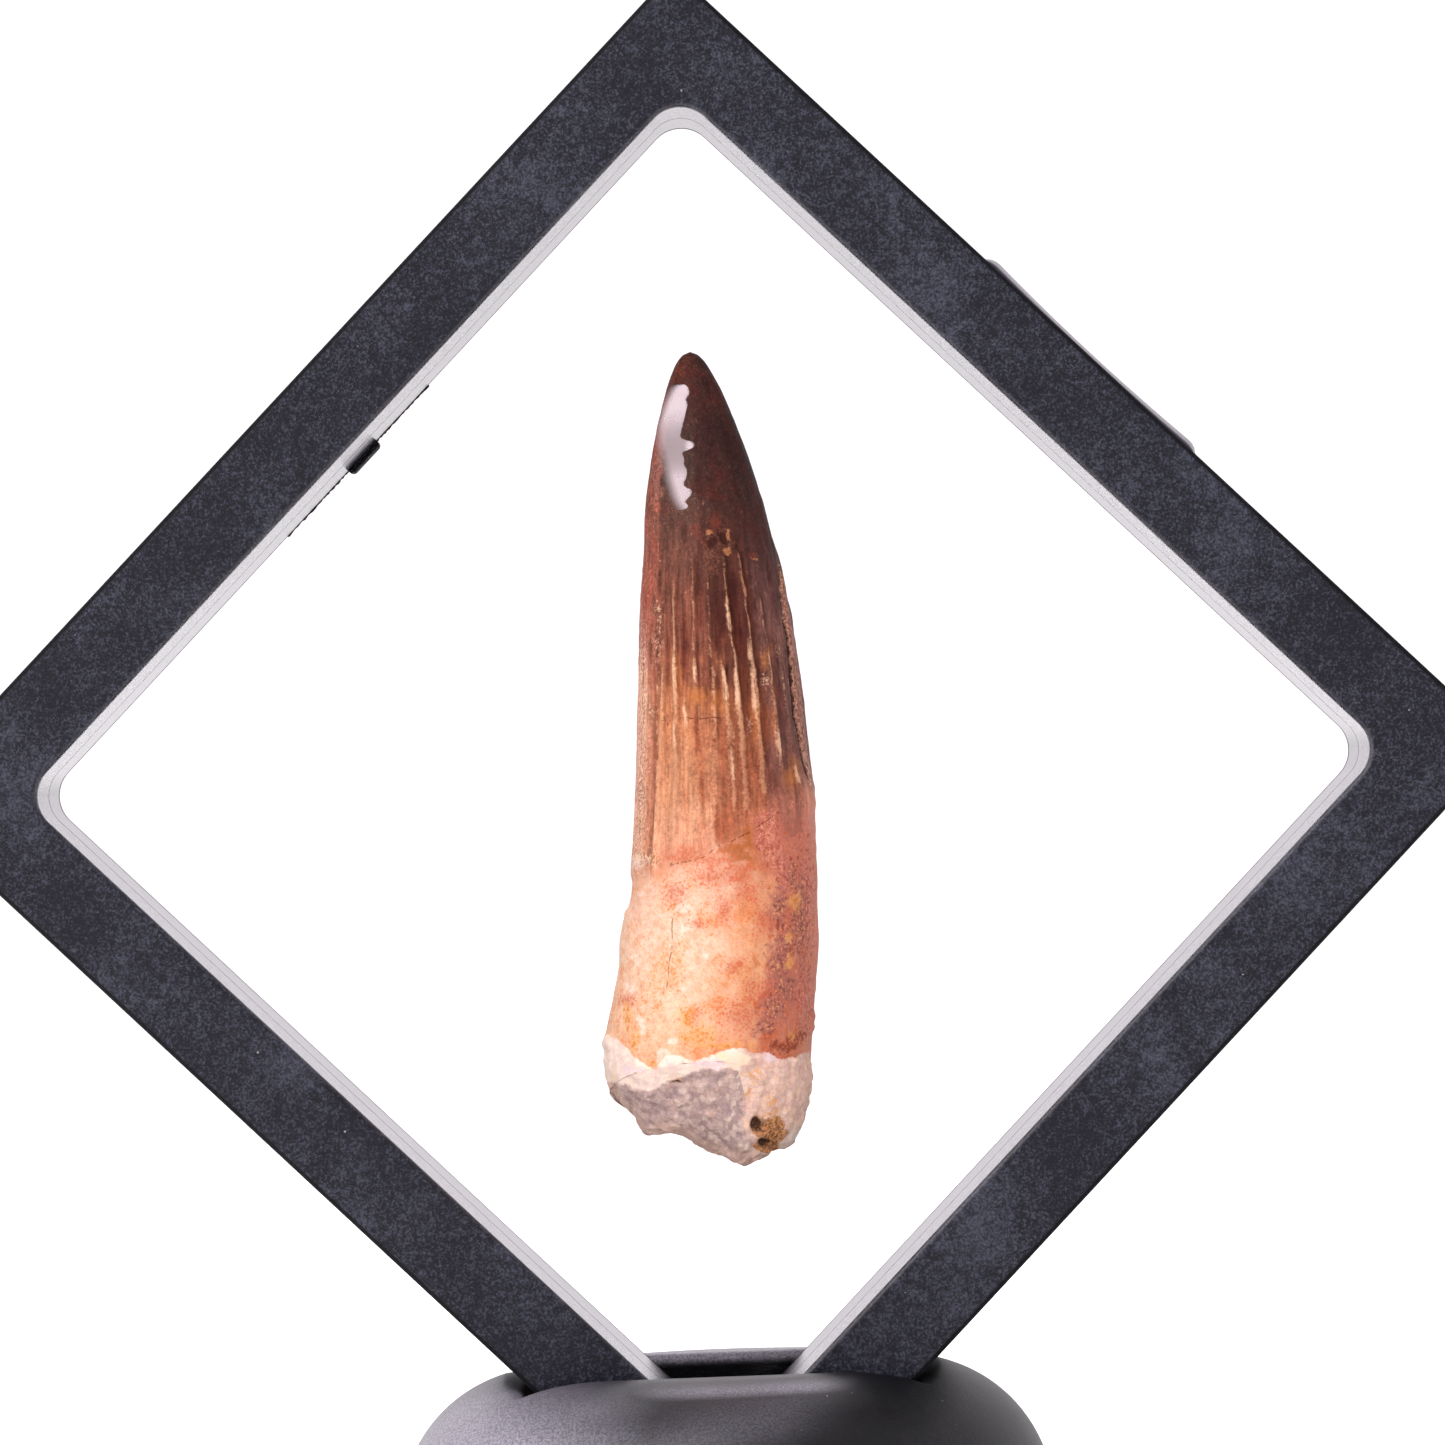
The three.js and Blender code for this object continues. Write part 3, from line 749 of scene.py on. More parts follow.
# where the outer shell ends on the front, from left to right
shellEdge = curveThrough([
    (-9, -20.6), (-7.9, -20.9), (-6.3, -22.5), (-4.8, -23.4), (-4.35, -22.9), (-3.5, -22.3), (-1.7, -22.8),
    (-1, -22.7), (1.1, -22.1), (2.1, -22), (3.5, -22.5), (4.2, -22.4), (5.4, -23.1), (6.4, -22.9), (8.6, -22.5)])
# and where the cream rim below it gives way to the grey filling
rimEdge = curveThrough([
    (-9, -24.5), (-8.1, -24.6), (-6.6, -24.95), (-5.6, -25.25), (-5.1, -25.2), (-4.3, -24.7), (-3.5, -24.45),
    (-2.3, -24.1), (-1.7, -23.7), (-0.2, -23.55), (1.9, -23.9), (2.3, -25.7), (3.1, -26.8), (3.3, -28.2),
    (5.5, -30.6), (9, -31)])
# the glossy patch near the tip: its ragged right edge and its share of shine, against the height
glossRight = curveThrough([
    (31.25, -0.55), (31.1, -0.2), (30.75, -0.02), (30.4, -0.02), (30.0, -0.28), (29.6, -0.17), (29.0, -0.31),
    (28.3, -0.51), (27.5, -0.72), (27.0, -0.82), (26.74, -0.6), (26.55, 0.05), (26.25, 0.28), (25.98, 0.05), (25.78, -0.58),
    (25.6, -0.73), (25.1, -0.57), (24.75, -0.64), (24.25, -0.42), (23.6, -0.51), (23.2, -0.70), (22.9, -0.59),
    (22.65, -0.13), (22.15, -0.21), (21.75, -0.64), (21.3, -0.42), (21.05, -0.9)])
glossLeft = curveThrough([(31.3, -1.4), (30.5, -2.0), (28.5, -2.9), (27.0, -3.1), (25.5, -2.7), (23.5, -2.3),
                          (21.8, -1.8), (21.0, -1.3)])
glossPower = curveThrough([(31.4, 1.0), (29.4, 1.0), (28.3, 0.86), (27.4, 0.70), (26.2, 0.62), (25.2, 0.64),
                           (24.4, 0.75), (23.6, 0.92), (21.0, 0.92)])
glossFinger = {"left": -0.85, "middle": 26.2, "half": 0.42}
cracks = [
    # points along it; the first three run across the tooth and the last one down it
    ("across", [(-2.95, -7.25), (-2.15, -7.06), (-0.5, -6.74), (0.44, -6.2), (1.1, -5.71), (1.73, -5.61),
                (2.5, -5.25), (3.55, -4.78), (4.5, -4.2), (6.0, -3.3)]),
    ("across", [(-3.45, 4.34), (-2.7, 4.32), (-1.6, 4.48), (-0.4, 4.37), (0.9, 4.42), (1.6, 4.36)]),
    ("across", [(1.95, 8.8), (2.3, 8.9), (2.55, 9.05), (2.95, 9.5)]),
    ("down", [(-11.3, -2.9), (-11.7, -2.99), (-13.8, -3.14), (-15, -3.4), (-17.0, -3.65)]),
]
# stains and patches: middle x and height, half width and half height
patches = {
    "amber": [(2.7, -6.3, 1.35, 0.85), (3.6, -5.7, 0.6, 1.2)],
    "glow": [(1.4, 5.5, 1.0, 0.9), (-0.4, 6.1, 1.1, 0.8), (5.5, 8.8, 0.35, 1.5), (4.4, 4.6, 0.4, 2.0),
             (7.2, -0.3, 0.7, 1.4), (-2.0, 7.9, 0.5, 2.4)],
    "blush": [(-1.7, -6.5, 1.6, 0.9), (0.4, -8.1, 1.6, 0.8), (2.4, -8.0, 1.3, 0.8), (3.2, -9.6, 1.0, 1.0),
              (1.2, -11, 0.7, 1.2), (-2.7, -9.4, 0.8, 0.9), (-1.0, -12.1, 0.6, 0.4), (1.9, -15.6, 1.0, 0.8),
              (3.3, -17.4, 1.0, 1.2), (2.4, -19.4, 1.6, 1.4), (-6.8, -17.9, 0.7, 0.6), (-1.6, -19.2, 0.5, 0.8),
              (0.8, -6.9, 1.6, 0.5), (4.2, -12.0, 0.8, 1.6)],
    "pink": [(5.2, -5.6, 0.95, 2.6), (6.0, -7.8, 0.85, 1.7), (4.55, -5.2, 0.6, 1.6), (8.2, -9.5, 0.8, 5.5),
             (7.6, -18.5, 1.0, 3.0)],
    "wedge": [(6.3, -2.7, 0.9, 1.5), (6.7, -4.4, 0.5, 1.1), (7.5, -3.6, 0.35, 1.6)],
    "plum": [(5.6, -11.0, 0.9, 1.6), (6.1, -14.0, 1.0, 1.8), (5.1, -15.6, 0.9, 1.4), (5.8, -17.2, 1.0, 1.6),
             (4.9, -19.0, 1.1, 1.2), (4.5, -20.4, 1.1, 0.8), (7.3, -12.0, 0.8, 4.5), (6.9, -8.6, 0.5, 1.8)],
    "rust": [(-2.1, -19.5, 0.8, 0.9), (-1.0, -20.8, 1.3, 0.8), (-2.3, -20.9, 0.6, 0.5), (-6.85, -19.3, 0.5, 1.1),
             (-6.5, -21.2, 0.4, 0.9), (0.6, -21.7, 2.4, 0.3), (-4.7, -22.9, 0.4, 0.3), (3.6, -23.8, 0.5, 0.3),
             (4.35, -26.1, 0.3, 0.25), (3.0, -24.3, 0.7, 0.35), (4.5, -26.6, 0.5, 0.6), (2.6, -25.6, 0.4, 0.5), (6.4, -15.3, 0.45, 0.6), (6.9, -10.5, 0.55, 0.8), (6.3, -13.4, 0.4, 0.4),
             (6.4, -21.2, 0.5, 0.4), (-3.1, -24.6, 0.75, 0.28), (4.4, -27.4, 1.0, 0.4), (-5.0, -6.6, 0.9, 0.4)],
    "umber": [(5.4, -22.1, 1.1, 0.6), (6.3, -21.7, 0.7, 0.6), (7.1, -21.3, 0.5, 0.7), (5.6, -12.2, 0.4, 0.4)],
    "chalk": [(-5.3, -7.0, 0.8, 0.9), (-3.3, -21.3, 0.45, 0.35), (-3.9, -22.4, 0.8, 0.5), (-6.2, -14.65, 0.35, 0.45),
              (-2.1, -10.65, 0.5, 0.4), (-2.0, -12.4, 0.4, 0.45), (-5.8, -19.9, 0.25, 1.1), (-5.6, -9.6, 0.5, 0.3),
              (-6.6, -17.0, 0.4, 0.35), (-2.5, -17.3, 0.35, 0.3), (-0.5, -14.5, 0.35, 0.4)],
    "bean": [(2.0, -22.75, 1.05, 0.55)],
    "lilac": [(0.2, -23.1, 1.5, 0.4), (4.7, -22.75, 0.7, 0.35), (-6.6, -23.5, 0.9, 0.4)],
    "pocket": [(3.35, -28.6, 0.45, 0.95), (4.5, -28.9, 1.15, 1.25), (4.0, -30.1, 0.9, 0.5)],
    "pit": [(3.35, -28.4, 0.4, 0.75), (3.9, -29.9, 0.5, 0.4), (-3.1, -24.7, 0.5, 0.16)],
    "chipped": [(1.4, 18.5, 0.85, 0.85), (2.35, 18.5, 0.75, 0.9), (1.3, 16.7, 0.6, 1.3), (4.8, 17.2, 0.35, 0.2)],
    "hole": [(1.36, 18.42, 0.46, 0.36), (2.38, 18.68, 0.36, 0.46)],
    "tan": [(1.2, 19.15, 0.4, 0.15), (2.4, 17.62, 0.34, 0.36), (2.8, 18.9, 0.12, 0.4), (4.8, 17.12, 0.3, 0.12)],
    "scorch": [(1.8, 19.9, 0.5, 0.85), (4.7, 17.5, 0.5, 0.4), (0.4, 19.2, 0.35, 1.0)],
    "granular": [(-3.3, 12.6, 0.35, 1.5), (-3.5, 10.2, 0.4, 1.2), (-4.1, 5.15, 0.45, 0.5), (-4.75, 1.6, 0.35, 1.3),
                 (-5.1, -0.9, 0.5, 1.2), (-5.35, -3.4, 0.45, 2.0), (-4.7, -6.5, 1.2, 0.8), (5.25, 7.3, 0.3, 0.8),
                 (3.95, 3.6, 0.3, 0.6), (6.35, 9.6, 0.3, 0.4)],
}
softPatches = ("blush", "pink", "plum", "rust", "glow", "wedge", "amber", "granular", "chalk", "lilac", "scorch")
nodules = [(-6.95, -10.8, 0.45, 0.4), (8.5, -19.9, 0.4, 0.4), (8.3, -20.8, 0.35, 0.3), (-8.8, -21.4, 0.5, 0.35),
           (-3.9, -22.4, 0.8, 0.22), (2.0, -22.75, 1.0, 0.3), (-5.6, -7.3, 0.7, 0.2)]


def halfWidthAt(level):
    return (rightEdge(level) - leftEdge(level)) / 2


def middleAt(level):
    return (rightEdge(level) + leftEdge(level)) / 2


def halfDepthAt(level):
    return np.minimum(tooth["depthShare"] * halfWidthAt(level), tooth["greatestHalfDepth"])


def toothRows():
    # levels from the tip down to the front lip of the break, closer where the form is finer
    spacing = np.array(sorted(tooth["rowSpacing"]))
    levels = [tooth["tip"][0]]
    while levels[-1] > tooth["breakFront"]:
        levels.append(levels[-1] - np.interp(levels[-1], spacing[:, 0], spacing[:, 1]))
    return np.array(levels[1:])


def lumpIn(x, height, patch, power=2.0):
    # 1 in the middle of an oval patch, 0.5 on its edge, fading out beyond it
    middleX, middleZ, halfX, halfZ = patch
    away = np.hypot((x - middleX) / halfX, (height - middleZ) / halfZ)
    return np.exp(-0.7 * away ** power)


def gapToCrack(x, height, points, runsAcross):
    # signed distance to a crack and how near its span a point lies
    along, off = (x, height) if runsAcross else (height, x)
    line = curveThrough(points)
    first, last = min(point[0] for point in points), max(point[0] for point in points)
    inside = smoothStep(along, first - 0.3, first + 0.2) * (1 - smoothStep(along, last - 0.2, last + 0.3))
    return off - line(along), inside


def addField(piece, name, values):
    # a number for each point, which the material reads
    field = piece.data.attributes.new(name, "FLOAT", "POINT")
    field.data.foreach_set("value", np.asarray(values, np.float32).ravel())


def stripe(line, level, swing, arcRate, width, number, shift=0.0):
    # a line down the tooth: 1 along its middle, fading to its sides and its ends
    shareTop, shareBottom, top, bottom = line[:4]
    place = np.clip((level - bottom) / (top - bottom), 0, 1)
    heading = np.arcsin(blend(shareBottom, shareTop, place))
    return stripeAt(heading, top, bottom, level, swing, arcRate, width, number, shift)


def stripeAt(heading, top, bottom, level, swing, arcRate, width, number, shift=0.0):
    wander = np.stack([level, level * 0 + number * 3.1, level * 0], -1)
    away = (swing - heading + np.pi) % (2 * np.pi) - np.pi
    gap = arcRate * away + 0.07 * unevenness(wander, 1.3) + 0.03 * unevenness(wander, 0.4) - shift
    width = width * (1 + 0.35 * unevenness(wander, 0.9, 2))
    taper = min(2.0, (top - bottom) * 0.3)
    ends = smoothStep(level, bottom - 0.3, bottom + taper) * (1 - smoothStep(level, top - taper, top + 0.3))
    return np.exp(-(gap / width) ** 2) * ends


def makeTooth(finish):
    columns = tooth["columns"]
    swing = np.linspace(-np.pi, np.pi, columns, endpoint=False)     # turn from the front
    sine, cosine = np.sin(swing), np.cos(swing)
    front = (1 + cosine) / 2
    lip = blend(tooth["breakBack"], tooth["breakFront"], front)
    rows = toothRows()
    sink = smoothStep(-rows, 4, -rows[-1])[:, None]
    shaft = rows[:, None] + (lip - rows[-1]) * sink
    scales = 1 - np.linspace(0, 1, tooth["breakRings"] + 1)[1:-1] ** 1.6
    level = np.concatenate([shaft, np.broadcast_to(lip, (len(scales), columns))])
    scale = np.concatenate([np.ones(len(rows)), scales])[:, None]
    isBreak = (np.arange(len(level)) >= len(rows))[:, None]

    halfWidth, depth = halfWidthAt(level), halfDepthAt(level)
    x = middleAt(level) + halfWidth * sine * scale
    y = -depth * cosine * scale
    lean = tooth["enamelSlope"] * np.exp(-(((level - tooth["enamelEdge"]) / tooth["enamelReach"]) ** 2))
    steep = blend(tooth["steepSide"], tooth["steepFront"], front ** 2)
    fallen = blend(level, bottomEdge(x), 1 - scale ** steep)
    z = np.where(isBreak, fallen, level + lean * x)
    points = np.stack([x, y, z], -1)

    downwards = np.gradient(points, axis=0)
    sideways = np.roll(points, -1, axis=1) - np.roll(points, 1, axis=1)
    normals = np.cross(downwards, sideways)
    normals /= np.linalg.norm(normals, axis=-1, keepdims=True)

    # ridges and grooves of the crown
    arcRate = np.sqrt((halfWidth * cosine) ** 2 + (depth * sine) ** 2)
    arc = arcRate * swing
    share = (x - middleAt(level)) / halfWidth
    isFront = smoothStep(cosine, -0.15, 0.2)
    flat = np.zeros_like(level)
    fluted = smoothStep(level, -7, 3) * (1 - smoothStep(level, 17.5, 22))
    crestWidth = blend(fluting["wideCrest"], fluting["thinCrest"], smoothStep(level, 1, 11))
    ridge, relief = flat.copy(), -fluting["height"] * fluted
    ridges = [(stripe(line, level, swing, arcRate, crestWidth, number),
               stripe(line, level, swing, arcRate, fluting["foot"], number), line[4])
              for number, line in enumerate(frontRidges)]
    draw = np.random.default_rng(backRidges["seed"])
    for step in range(backRidges["count"]):
        angle = 98 + 164 * (step + 0.5) / backRidges["count"] + draw.uniform(-1, 1) * backRidges["jitter"]
        top = draw.uniform(*backRidges["top"])
        place = (math.radians(angle), top, backRidges["bottom"], level, swing, arcRate)
        ridges.append((stripeAt(*place, crestWidth, step + 20), stripeAt(*place, fluting["foot"], step + 20),
                       draw.uniform(0.6, 1)))
    # painted shadow: a dark line just right of each front ridge
    shade = flat.copy()
    for number, line in enumerate(frontRidges):
        beside = stripe(line, level, swing, arcRate, fluting["shadeWidth"], number, fluting["shadeShift"])
        shade = np.maximum(shade, beside * line[4])
    for crest, foot, strength in ridges:
        ridge = np.maximum(ridge, crest * strength)
        relief = relief + fluting["height"] * strength * (0.6 * crest + 0.4 * foot)
    worn, dark = flat.copy(), flat.copy()
    for number, line in enumerate(wornLengths):
        worn = np.maximum(worn, stripe(line, level, swing, arcRate, line[4], number + 40) * isFront)
    for number, line in enumerate(darkLengths):
        dark = np.maximum(dark, stripe(line, level, swing, arcRate, line[4], number + 60) * isFront)
    relief = relief + 0.06 * worn - 0.05 * dark
    fineLines = unevenness(np.stack([arc / 0.4, level / 6, flat], -1), 1.0, 2)
    relief = relief + fluting["fineHeight"] * fineLines * smoothStep(level, -9, -2) * (1 - smoothStep(level, 19, 24))
    onRight = smoothStep(level, -4.5, -1) * (1 - smoothStep(level, 15.5, 17)) * isFront
    heading = np.arcsin(np.clip(rightGroove(level), -1, 1))
    gap = arcRate * (swing - heading) + 0.14 * roughness(points * [0.2, 0.2, 1], 1.1, 4)
    groove = np.exp(-(gap / grooves["width"]) ** 2) * onRight
    relief = relief - grooves["depth"] * groove
    onLeft = smoothStep(level, -6, -3) * (1 - smoothStep(level, 8, 13)) * isFront
    gap = arcRate * (swing - math.asin(grooves["leftShare"])) + 0.12 * roughness(points * [0.2, 0.2, 1], 1.4, 7)
    relief = relief - grooves["leftDepth"] * np.exp(-(gap / grooves["leftWidth"]) ** 2) * onLeft

    # root, worn tip and small unevenness
    isRoot = 1 - smoothStep(level, tooth["enamelEdge"] - 0.7, tooth["enamelEdge"] + 0.1)
    relief = relief - 0.12 * isRoot + 0.11 * isRoot * roughness(points, 3.2, 1)
    relief = relief + 0.035 * isRoot * unevenness(np.stack([arc / 0.5, level / 5, flat], -1), 1.0, 5)
    relief = relief + 0.022 * roughness(points, 0.9, 6)
    fields = {}
    ragged = np.stack([unevenness(points, 0.8, 8), unevenness(points, 0.8, 9)], -1) * 0.28
    for name, spots in patches.items():
        total = flat.copy()
        power = 2.0 if name in softPatches else 5.0
        for spot in spots:
            total = np.maximum(total, lumpIn(x + ragged[..., 0], z + ragged[..., 1], spot, power))
        fields[name] = total * isFront
    onBack = 1 - isFront
    fields["plum"] = fields["plum"] + onBack * smoothStep(roughness(points, 6.0, 12), 0.1, 0.7) * isRoot
    fields["blush"] = fields["blush"] + onBack * smoothStep(roughness(points, 4.0, 13), 0.2, 0.8) * isRoot
    fields["granular"] = fields["granular"] + onBack * smoothStep(roughness(points, 3.0, 14), 0.75, 1.0)
    gap, number = grainsAt(points, 0.42, 3)
    relief = relief + fields["granular"] * 0.14 * (1 - np.clip(gap, 0, 1) ** 2)
    relief = relief - 0.34 * fields["hole"] + fields["chipped"] * (0.05 + 0.09 * (1 - np.clip(gap, 0, 1)))
    for middleX, middleZ, size, height in nodules:
        away = np.hypot(x - middleX, z - middleZ) / size
        relief = relief + height * np.exp(-away ** 2) * isFront

    # broken end: the shell's edge, the cream rim under it and the sandy filling
    shellGap = np.where(isBreak, np.minimum(z - shellEdge(x), -0.05),
                        blend(level - lip, z - shellEdge(x), isFront))
    rimGap = blend(z - rimEdge(x), (scale - 0.86) * 8 + 0 * level, 1 - isFront)
    broken = 1 - smoothStep(shellGap, -0.3, 0.05)
    rightSand = smoothStep(x + ragged[..., 0], 1.5, 2.9) * smoothStep(z, -31.5, -27)
    sandy = broken * np.maximum(1 - smoothStep(rimGap, -0.25, 0.25), rightSand)
    coarseGap, coarseNumber = grainsAt(points, 0.95, 1)
    fineGap, fineNumber = grainsAt(points, 0.5, 2)
    coarse = (1 - np.clip(coarseGap, 0, 1) ** 2) * (0.4 + 0.6 * coarseNumber)
    fine = (1 - np.clip(fineGap, 0, 1) ** 2) * (0.4 + 0.6 * fineNumber)
    relief = relief + sandy * (0.34 * coarse + 0.22 * fine - 0.2)
    relief = relief + broken * (1 - sandy) * 0.13 * roughness(points, 1.3, 15)
    relief = relief - 0.7 * fields["pit"] * broken
    fields["grain"] = coarseNumber * 0.6 + fineNumber * 0.4
    fields["grainTop"] = coarse * 0.5 + fine * 0.5

    gloss = np.minimum(glossRight(z) - x, np.minimum(31.25 - z, z - 21.05) * 1.5)
    fields["gloss"] = np.where(cosine > 0, gloss, -1.0)
    finger = smoothStep(x, glossFinger["left"] - 0.4, glossFinger["left"] + 0.7)
    finger = finger * (1 - smoothStep(abs(z - glossFinger["middle"]), 0.3, glossFinger["half"]))
    fields["glossPower"] = np.maximum(glossPower(z) * smoothStep(x - glossLeft(z), -0.2, 1.0), finger)
    crackGap, crackHere = np.full_like(level, 9.0), flat.copy()
    for direction, path in cracks:
        offset, inside = gapToCrack(x, z, path, direction == "across")
        crackGap = np.where(np.abs(offset) < np.abs(crackGap), offset, crackGap)
        crackHere = np.maximum(crackHere, inside * (1 - smoothStep(np.abs(offset), 0.3, 0.6)))
    fields["crackGap"] = np.clip(crackGap, -1, 1)
    fields["crackHere"] = crackHere * isFront
    relief = relief - 0.09 * fields["crackHere"] * np.exp(-(crackGap / 0.16) ** 2)
    beyond = share - rightGroove(level)
    fields.update(ridge=ridge, shade=shade, worn=worn, dark=dark, groove=groove, level=level, across=share,
                  beyond=np.where(cosine > 0, beyond, -share), shellGap=shellGap, rimGap=rimGap,
                  rightSand=rightSand, edgeGap=z - bottomEdge(x))

    points = points + normals * (relief * np.minimum(1, halfWidth / 2))[..., None]
    points[..., 2] += frameCentre
    tip = (tooth["tip"][1], 0, tooth["tip"][0] + frameCentre)
    middle = float(middleAt(tooth["breakFront"]))
    end = (middle, 0, float(bottomEdge(middle)) + frameCentre)
    skin = np.concatenate([[tip], points.reshape(-1, 3), [end]])
    faces = skinFaces([1] + [columns] * len(level) + [1])
    piece = addPiece("fossil_tooth", skin, faces, finish, "tooth")
    for name, values in fields.items():
        values = np.broadcast_to(values, level.shape)
        addField(piece, name, np.concatenate([[values[0].mean()], values.ravel(), [values[-1].mean()]]))
    tidyMesh(piece)
    return piece


# tooth finish: the colours are the picture's, and share is how much light the surface gives back

look = {"share": 0.56, "rightShare": 0.72, "sandShare": 0.68,
        "bridging": 0.95, "filmFacing": (-0.34, -0.93, 0.12), "gloss": (140, 127, 131)}
leftTones = [(32, (104, 58, 48)), (26, (142, 90, 82)), (22, (160, 100, 86)), (20, (152, 88, 72)), (14, (166, 92, 72)),
             (10, (190, 122, 102)), (7, (230, 170, 140)), (0, (232, 170, 142)), (-5, (226, 166, 136))]
bodyTones = [(33.5, (88, 50, 42)), (31, (74, 42, 37)), (23, (80, 54, 46)), (19, (104, 66, 56)), (14, (122, 70, 55)),
             (10, (140, 80, 62)), (6.5, (172, 106, 76)), (4, (200, 128, 90)), (-1, (208, 140, 104)),
             (-5, (228, 160, 128))]
middleTones = [(33.5, (72, 42, 36)), (28, (57, 31, 29)), (22, (66, 39, 34)), (16, (82, 44, 36)), (12, (90, 46, 37)),
               (9, (114, 62, 47)), (5, (148, 84, 58)), (1, (154, 86, 60)), (-4, (168, 96, 68)),
               (-7, (196, 116, 88))]
# the right strip's tones: partly its own colour, partly painted shade
rightTones = [(32, (62, 38, 35)), (27, (46, 27, 25)), (20, (58, 35, 32)), (14, (82, 51, 48)), (10, (110, 72, 64)),
              (6, (104, 66, 60)), (0, (108, 67, 60)), (-3, (134, 82, 68)), (-5.5, (172, 106, 86)), (-8, (186, 110, 92))]
crestTones = [(20, (112, 76, 58)), (16, (164, 112, 84)), (12, (190, 136, 104)), (8, (222, 170, 138)),
              (4, (218, 160, 124)), (0, (212, 150, 116)), (-5, (224, 164, 130))]
rootTones = [(-5, (232, 170, 140)), (-9, (244, 196, 172)), (-13, (246, 202, 176)), (-17, (246, 200, 172)),
             (-20, (246, 194, 162)), (-23, (242, 180, 142))]
rootMiddle = [(-5, (196, 120, 90)), (-8, (208, 128, 94)), (-12, (230, 156, 114)), (-16, (232, 164, 122)),
              (-20, (232, 162, 126)), (-23, (230, 152, 112))]
# the root's right strip: partly its own colour, partly painted shade
rootRight = [(-5, (180, 106, 88)), (-12, (184, 108, 88)), (-17, (176, 102, 84)), (-23, (182, 106, 82))]


def makeFossil():
    fossil = Finish("fossil")
    share, rightShare, sandShare = look["share"], look["rightShare"], look["sandShare"]

    def tones(stops, part):
        return [(place, tone(*colour, part)) for place, colour in stops]

    def over(below, amount, colour, part):
        return fossil.mix(amount, below, tone(*colour, part))

    field = fossil.attribute
    level, across, beyond = field("level"), field("across"), field("beyond")
    streak = fossil.noise(0.34, detail=4, rough=0.6, scale=(1, 1, 0.07))
    strand = fossil.noise(0.9, detail=3, scale=(1, 1, 0.12), shift=(5, 0, 2))
    mottle = fossil.noise(0.7, detail=6, rough=0.7, shift=(2, 7, 1))
    blotch = fossil.noise(2.2, detail=5, rough=0.6, shift=(4, 1, 8))
    dots = fossil.noise(0.32, detail=4, rough=0.7, shift=(1, 9, 4))
    speck = fossil.noise(0.13, detail=1, shift=(9, 3, 1))
    chip = fossil.noise(0.22, detail=3, rough=0.7, shift=(6, 6, 2))
    drift = (blotch - 0.5) * 6 + (strand - 0.5) * 6

    # crown: four strips of colour, from the left edge to the right one, darker towards the right: partly the tooth's
    # own colour and partly painted shade
    crown = fossil.ramp(level + drift, -8, 34, tones(bodyTones, share))
    inMiddle = fossil.rise(across + (strand - 0.5) * 1.2 + (blotch - 0.5) * 0.6, -0.40, 0.10)
    crown = fossil.mix(inMiddle, crown, fossil.ramp(level + drift, -8, 34, tones(middleTones, share)))
    atRight = fossil.rise(across + (strand - 0.5) * 0.8 + (mottle - 0.5) * 0.2, 0.42, 0.64)
    crown = fossil.mix(atRight, crown, fossil.ramp(level + drift, -8, 34, tones(rightTones, rightShare)))
    atLeft = fossil.rise(across * -1 + (mottle - 0.5) * 0.4 + (strand - 0.5) * 0.3, 0.69, 0.86)
    crown = fossil.mix(atLeft, crown, fossil.ramp(level + drift, -8, 34, tones(leftTones, share)))
    fluted = 1 - fossil.rise(level + (blotch - 0.5) * 4, 17, 21)
    lower = fossil.rise(level, 8, 1)
    crown = fossil.tinted(fossil.rise(strand, 0.50, 0.66) * 0.5, crown, (1.02, 0.78, 0.72))
    onTip = 1 - fluted
    crown = fossil.tinted(fossil.rise(blotch, 0.50, 0.60) * onTip * 0.7, crown, (1.35, 0.90, 0.86))
    crown = fossil.tinted(fossil.rise(blotch, 0.49, 0.40) * onTip * 0.7, crown, (0.80, 0.90, 0.92))
    crown = fossil.tinted(fossil.rise(strand, 0.49, 0.38) * onTip * 0.7, crown, (0.72, 0.70, 0.72))
    crown = fossil.tinted(fossil.rise(mottle, 0.52, 0.62) * (0.4 + onTip * 0.4), crown, (1.22, 1.30, 1.25))
    crown = fossil.tinted(fossil.rise(mottle, 0.48, 0.36) * 0.55, crown, (0.70, 0.62, 0.64))
    crown = fossil.tinted(fossil.rise(chip, 0.55, 0.66) * (0.2 + onTip * 0.7), crown, (1.9, 1.75, 1.5))
    crown = fossil.tinted(fossil.rise(speck, 0.62, 0.72) * onTip * 0.5, crown, (2.0, 1.9, 1.7))
    lengthways = (streak - 0.5) * (fluted * 2.2 - lower * 1.1 + 0.5) + (dots - 0.5) * 1.1
    crown = fossil.times(crown, (lengthways + 1).most(0.25))
    glow = fossil.rise(field("glow") + (mottle - 0.5) * 1.4 + (streak - 0.5) * 1.4, 0.25, 1.1)
    crown = over(crown, glow * 0.55, (202, 120, 62), share)
    dark = fossil.rise(field("dark") + (mottle - 0.5) * 1.2 + (streak - 0.5) * 1.2, 0.2, 0.9)
    crown = fossil.tinted(dark * (0.75 - lower * 0.15), crown, (0.58, 0.44, 0.43))
    # painted shadow: darker just right of each ridge
    shade = fossil.rise(field("shade") + (chip - 0.5) * 1.0 + (mottle - 0.5) * 0.8, 0.2, 0.9)
    crown = fossil.tinted(shade * (0.7 - lower * 0.3), crown, (0.55, 0.44, 0.42))
    ridge = fossil.rise(field("ridge") + (chip - 0.5) * 1.3 + (mottle - 0.5) * 1.6 + (streak - 0.5), 0.30, 0.95)
    crown = fossil.mix(ridge * (0.8 - lower * 0.35), crown, fossil.ramp(level, -5, 20, tones(crestTones, share)))
    worn = fossil.rise(field("worn") + (mottle - 0.5) * 1.3 + (streak - 0.5) * 1.2 + (chip - 0.5) * 0.6, 0.30, 1.15)
    crown = over(crown, worn * 0.8, (240, 188, 154), share)
    cells = fossil.rise(chip, 0.46, 0.58)
